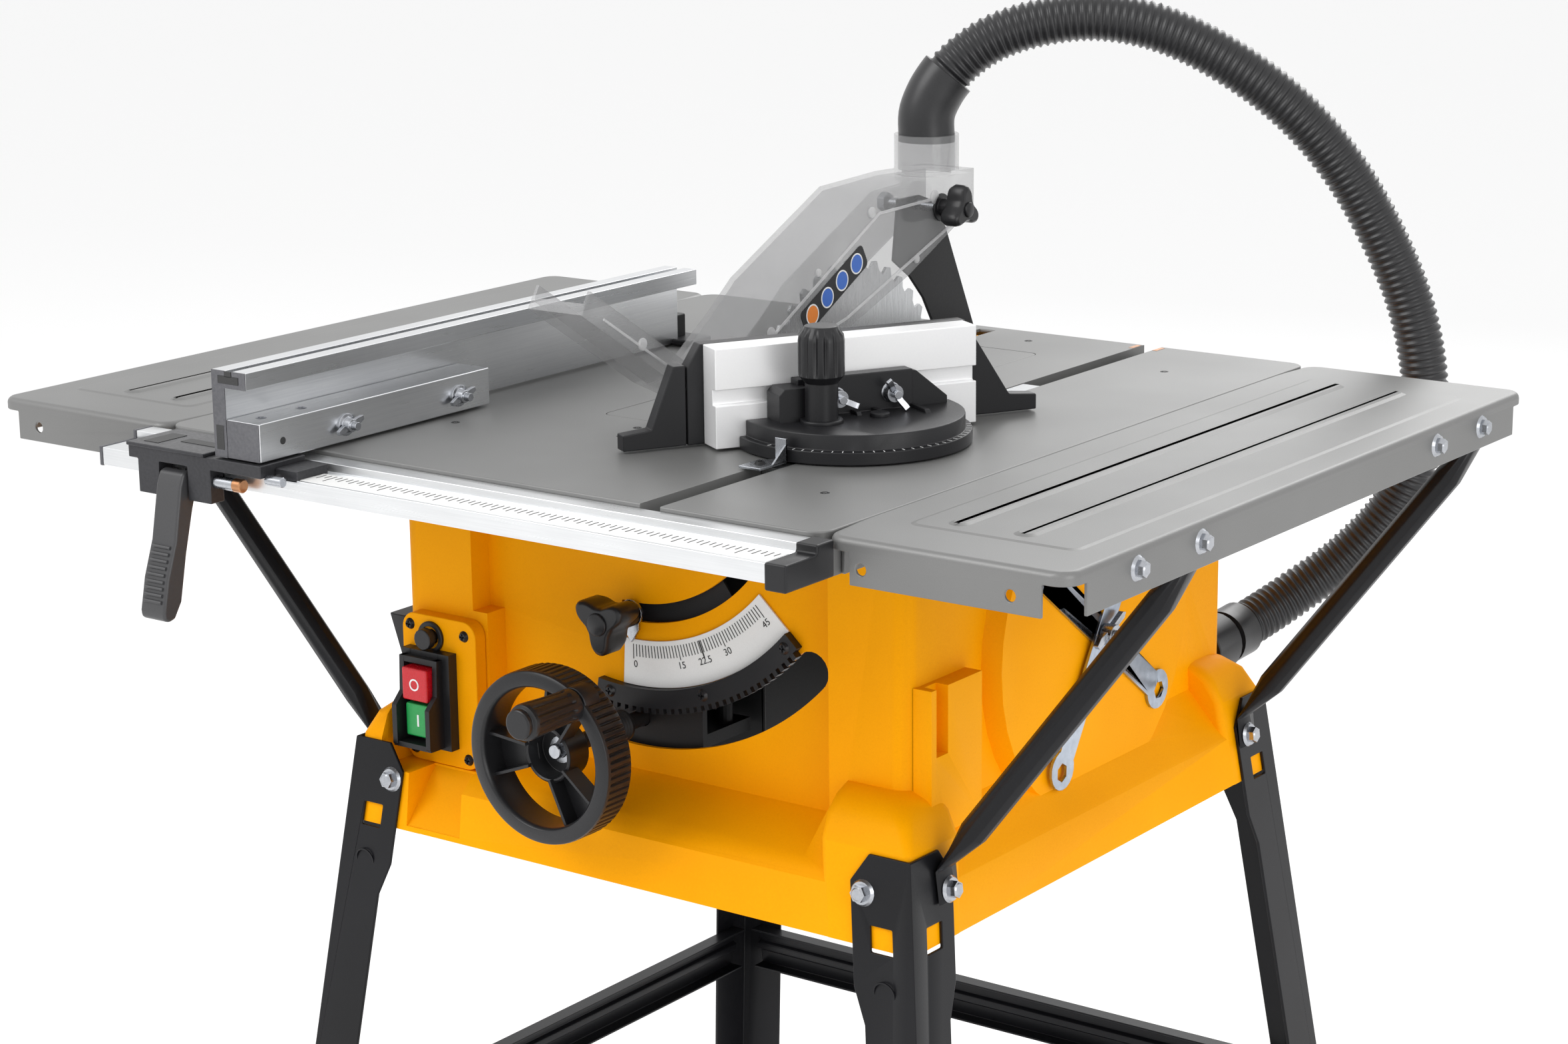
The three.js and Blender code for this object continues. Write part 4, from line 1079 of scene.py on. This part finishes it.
def makeMitre():
    knob = [(4, 870.6), (4, 882), (11.5, 882), (11.5, 909), (12.5, 910), (16, 914), (16.2, 917), (16.2, 938),
            (15.6, 942), (12.5, 946), (11.5, 948.2), (9, 948.5)]
    build("mitre_grip", [inMitre(turned("z", mitreSet["knob"], knob, 112, flute=mitreFlute))], "gripPlastic",
          "mitre_lock", replaces=["mitre_knob"], bevel=0.4)
    nuts = [part for nut in mitreSet["nuts"] for part in wingNut(*nut)]
    build("wing_nuts", nuts, "zincPlate", "mitre_face", bevel=0.4)
    holder = [inMitre(s) for s in (
        prism("y", [(40, 880), (40, 908), (48, 906), (72, 886), (72, 880)], -2, 8),
        prism("y", [(-62, 880), (-62, 900), (-58, 904), (-40, 904), (-40, 880)], -14, 8),
        prism("x", [(-16, 880), (-4, 880), (-4, 883.5), (-13, 883.5)], -4, 0),
        prism("x", [(-16, 880), (-4, 880), (-4, 883.5), (-13, 883.5)], 12, 16),
        prism("x", [(-30, 880), (-4, 880), (-4, 883.5), (-27, 883.5)], 42, 46),
        rod("z", mitreSet["knob"], 15, 880, 883.5, 32, 0.8), rod("z", (10, -22), 7, 880, 884, 24, 0.8),
    )]
    build("mitre_head_ribs", holder, "blackPlastic", "mitre_gauge", bevel=0.8)
    rows = []
    for degrees in mitreSet["dial"]:
        a = math.radians(degrees + mitreSet["turn"])
        long = 5.0 if degrees % 15 == 0 else 3.2
        r = mitreSet["disc"] - 0.8 - long / 2
        out = (math.cos(a), math.sin(a), 0)
        rows.append(((mitreSet["at"][0] + r * out[0], mitreSet["at"][1] + r * out[1], 870), out,
                     (long * mm, 0.0006, 0.0003)))
    scatter("mitre_dial_ticks", rulerTree, rows, {}, "markWhite", "mitre_gauge")
    wing = [(-113, 861.8), (-160, 861.8), (-160, 873), (-139, 875), (-122, 918), (-113, 918)]
    build("backing_wing", [inMitre(prism("y", wing, 30.3, 42))], "blackPlastic", "mitre_face",
          bevel=0.8)
    plate = [prism("z", [(141, 112), (159, 112), (159, 143), (150, 143), (141, 134)], 861.2, 863),
             prism("z", [(150, 141.2), (159, 141.2), (159, 143), (150, 143)], 862, 878),
             prism("x", [(125, 862), (143, 862), (143, 875)], 157.5, 159)]
    build("mitre_pointer", plate, "zincPlate", "mitre_slider", bevel=0.3)
    scatter("pointer_screw", screwTree, [((150, 124, 862.9), (0, 0, 1))], {"Radius": 4.2, "Height": 2.0},
            "mattBlackSteel", "mitre_slider")


makeMitre()
print("mitre gauge")


# rip fence, its rail and lever

fenceSet = {"faceScrews": [(-151, -43), (-151, -4)], "wings": [24, 142], "hole": -38,
            "ridges": 9, "ridgeTop": 796, "ridgeStep": 4.6,
            "tape": (-150, 282), "tickStep": 5, "leverRest": [(-77, 800), (-86, 775), (-91, 752)]}


def sideNut(y, z):
    base = turned("x", (0, 0), [(8, -136), (8, -134.6), (5.6, -134), (4.6, -129), (3, -128.6), (3, -124)], 22)
    wings = [prism("x", [(2, -2), (7, -2.6), (13, -1), (13, 2), (7, 2.6), (2, 2)], -133, -130)]
    wings += [turnedAbout(wings[0], "X", 180, (0, 0, 0))]
    parts = [base] + [turnedAbout(w, "X", 15, (0, 0, 0)) for w in wings]
    return [shifted(p, 0, y, z) for p in parts]


def makeFence():
    nuts = [shape for y in fenceSet["wings"] for shape in sideNut(y, 874)]
    build("fence_wing_nuts", nuts, "zincPlate", "fence_side", bevel=0.3)
    rows = [((x, y, 888.9), (0, 0, 1)) for x, y in fenceSet["faceScrews"]]
    scatter("face_screws", screwTree, rows, {"Radius": 4.4, "Height": 0.5}, "zincPlate", "fence_side")
    # a black disc for the hole in the face: painted shade inside the hole
    hole = rod("x", (fenceSet["hole"], 874), 2.6, -136.4, -135.8, 20)
    build("face_hole", [hole], "inkAndShadeBlack", "fence_side")
    # the front ends of the profile and of the face are darker grey plates: painted shade, the end faces lying in
    # shadow
    section = [(-179, 862), (-167, 862), (-167, 911), (-147, 911), (-147, 923), (-159.5, 923), (-159.5, 919.5),
               (-153, 919.5), (-153, 914), (-173, 914), (-173, 919.5), (-166.5, 919.5), (-166.5, 923), (-179, 923)]
    build("fence_end", [prism("y", section, -60.5, -59.9)], "capGreyAndEndShade", "rip_fence")
    # black sheets in the end's hollows: painted shade inside the profile
    windows = [(-176.5, -169.5, 867.5, 884.5), (-172.6, -153.4, 914.2, 919.3), (-166, -160, 919, 922.8)]
    shapes = [box(x0, x1, -60.7, -59.8, z0, z1) for x0, x1, z0, z1 in windows]
    build("fence_end_windows", shapes, "inkAndShadeBlack", "rip_fence")
    build("face_end", [box(-166.4, -136.3, -60.5, -59.9, 862.4, 888.6)], "capGreyAndEndShade", "fence_side")
    step = [box(-262, -186, -66, -18, 860.8, 863.5), box(-133, -112, -50, -20, 849, 857.5)]
    build("carriage_step", step, "castGrey", "rip_fence", bevel=0.8)
    # black sheets for the carriage's slots: painted shade inside them
    slots = [box(-252, -238, -58, -30, 863.2, 863.8), box(-228, -194, -46, -36, 863.2, 863.8)]
    build("carriage_slots", slots, "inkAndShadeBlack", "rip_fence")
    pins = [rod("x", (-57.5, 843), 4.6, -182, -164, 22, 0.6), rod("x", (-57.5, 850.5), 3.6, -133, -118, 20, 0.5)]
    build("carriage_pins", pins, "zincPlate", "rip_fence")
    build("pin_end", [rod("x", (-57.5, 843), 4.9, -164.2, -156, 22, 0.8)], "copperPin", "rip_fence")
    arm = [(-52.6, 845), (-60, 848.5), (-66, 847), (-69.5, 838), (-77, 800), (-86, 775), (-91, 752), (-90.5, 747),
           (-86, 744.6), (-80, 746), (-73, 757), (-66, 790), (-58, 820), (-53, 835)]
    build("clamp_lever", [prism("x", arm, -230, -206)], "leverPlastic", "fence_clamp",
          replaces=["fence_lever"], bevel=2.2, segments=3)
    rows = []
    line = fenceSet["leverRest"]
    for k in range(fenceSet["ridges"]):
        z = fenceSet["ridgeTop"] - fenceSet["ridgeStep"] * k
        a, b = line[:2] if z > line[1][1] else line[1:]
        share = (a[1] - z) / (a[1] - b[1])
        rows.append(((-218, a[0] + (b[0] - a[0]) * share, z), (1, 0, 0)))
    scatter("lever_ridges", ridgeTree, rows, {"Radius": 1.4, "Length": 17}, "leverPlastic", "fence_clamp")
    start, end = fenceSet["tape"]
    build("rail_tape", [box(start, end, -47.5, -24, 850.8, 851.25)], "scaleWhite", "root")
    rows = []
    for k in range(int((end - start) / fenceSet["tickStep"])):
        long = 14 if k % 10 == 0 else 10 if k % 2 == 0 else 7
        place = (start + 3 + fenceSet["tickStep"] * k, -27 - long / 2, 851.3)
        rows.append((place, (0, 1, 0), (long * mm, 0.0007, 0.0003)))
    scatter("rail_ticks", rulerTree, rows, {}, "inkAndShadeBlack", "root")
    cap = [(-50.5, 837.5), (-0.6, 834.5), (-0.6, 857.5), (-17.5, 857.5), (-17.5, 851.5), (-50.5, 851.5)]
    build("rail_left_cap", [prism("x", cap, -307, -304)], "capGreyAndEndShade", "root", bevel=0.6)
    foot = [box(-196, -150, 432, 462, 861, 866), box(-190, -168, 440.2, 452, 864, 884)]
    build("fence_rear_foot", foot, "blackPlastic", "rip_fence", bevel=1.5)


makeFence()
print("rip fence")


# guard: strip with plain discs, moulded ribs and bosses, and the hose's smooth cuffs

guardSet = {"side": 29, "stripAt": (381, 932.6), "stripTurn": 27.8, "stripHalf": (45, 9.6),
            "discs": (-32.4, -10.8, 10.8, 32.4), "discRadius": 8.0,
            "bosses": [(430, 984, 4.5), (515, 985, 5.5), (300, 912, 4.5), (490, 940, 3.5), (150, 928, 4.5),
                       (360, 948, 3.2)],
            "ribs": [((300, 908), (440, 982), 2.4), ((440, 982), (560, 985), 2.4), ((265, 880), (396, 908), 2.4),
                     ((396, 908), (560, 968), 2.4), ((265, 880), (300, 908), 2.4), ((108, 952), (232, 874), 2.0)]}


def bar(axis, start, end, width, low, high):
    along = Vector((end[0] - start[0], end[1] - start[1])).normalized()
    side = Vector((-along.y, along.x)) * width / 2
    a, b = Vector(start), Vector(end)
    return prism(axis, [tuple(a - side), tuple(b - side), tuple(b + side), tuple(a + side)], low, high)


def placedInStrip(points):
    y, z = guardSet["stripAt"]
    turn = math.radians(guardSet["stripTurn"])
    c, s = math.cos(turn), math.sin(turn)
    return [(y + u * c - v * s, z + u * s + v * c) for u, v in points]


def makeGuardDetails():
    side = guardSet["side"]
    long, high = guardSet["stripHalf"]
    strip = prism("x", placedInStrip(roundedRect(-long, long, -high, high, 4)), side + 0.1, side + 0.6)
    build("guard_strip", [strip], "blackPlastic", "guard")
    discs = [placedInStrip([(u, 0)])[0] for u in guardSet["discs"]]
    r = guardSet["discRadius"]
    ring = [(r, side + 0.5), (r, side + 0.85), (r - 1.1, side + 0.85), (r - 1.1, side + 0.5)]
    rims = [turned("x", at, ring, 32, closed=True) for at in discs]
    build("disc_rims", rims, "markWhite", "guard")
    plain = [rod("x", at, r - 1.2, side + 0.4, side + 0.8, 32) for at in discs]
    build("disc_orange", plain[:1], "discOrange", "guard")
    build("discs_blue", plain[1:], "discBlue", "guard")
    shapes = [turned("x", (y, z), [(rad, side + 0.1), (rad, side + 1.6), (rad - 1, side + 2.2)], 24)
              for y, z, rad in guardSet["bosses"]]
    shapes += [bar("x", a, b, w, side + 0.1, side + 1.5) for a, b, w in guardSet["ribs"]]
    # the ribs and bosses are lighter than the guard's sheet: painted highlight
    build("guard_ribs", shapes, "clearPaintedHighlight", "guard", bevel=0.5)


cuffSet = {"upper": (0.0, 0.062, 22.2, "guard"), "lower": (0.956, 0.985, 22.0, "root"),
           "rib": 0.05, "pitch": 20, "sides": 32}


def makeCuffs():
    for place in ("upper", "lower"):
        start, end, radius, body = cuffSet[place]
        mesh, points = makeTube(start, end, (radius, cuffSet["rib"], cuffSet["pitch"]), cuffSet["sides"])
        mesh.set_sharp_from_angle(angle=math.radians(40))
        addObject("hose_cuff_" + place, mesh, body)


makeGuardDetails()
makeCuffs()
print("guard details")
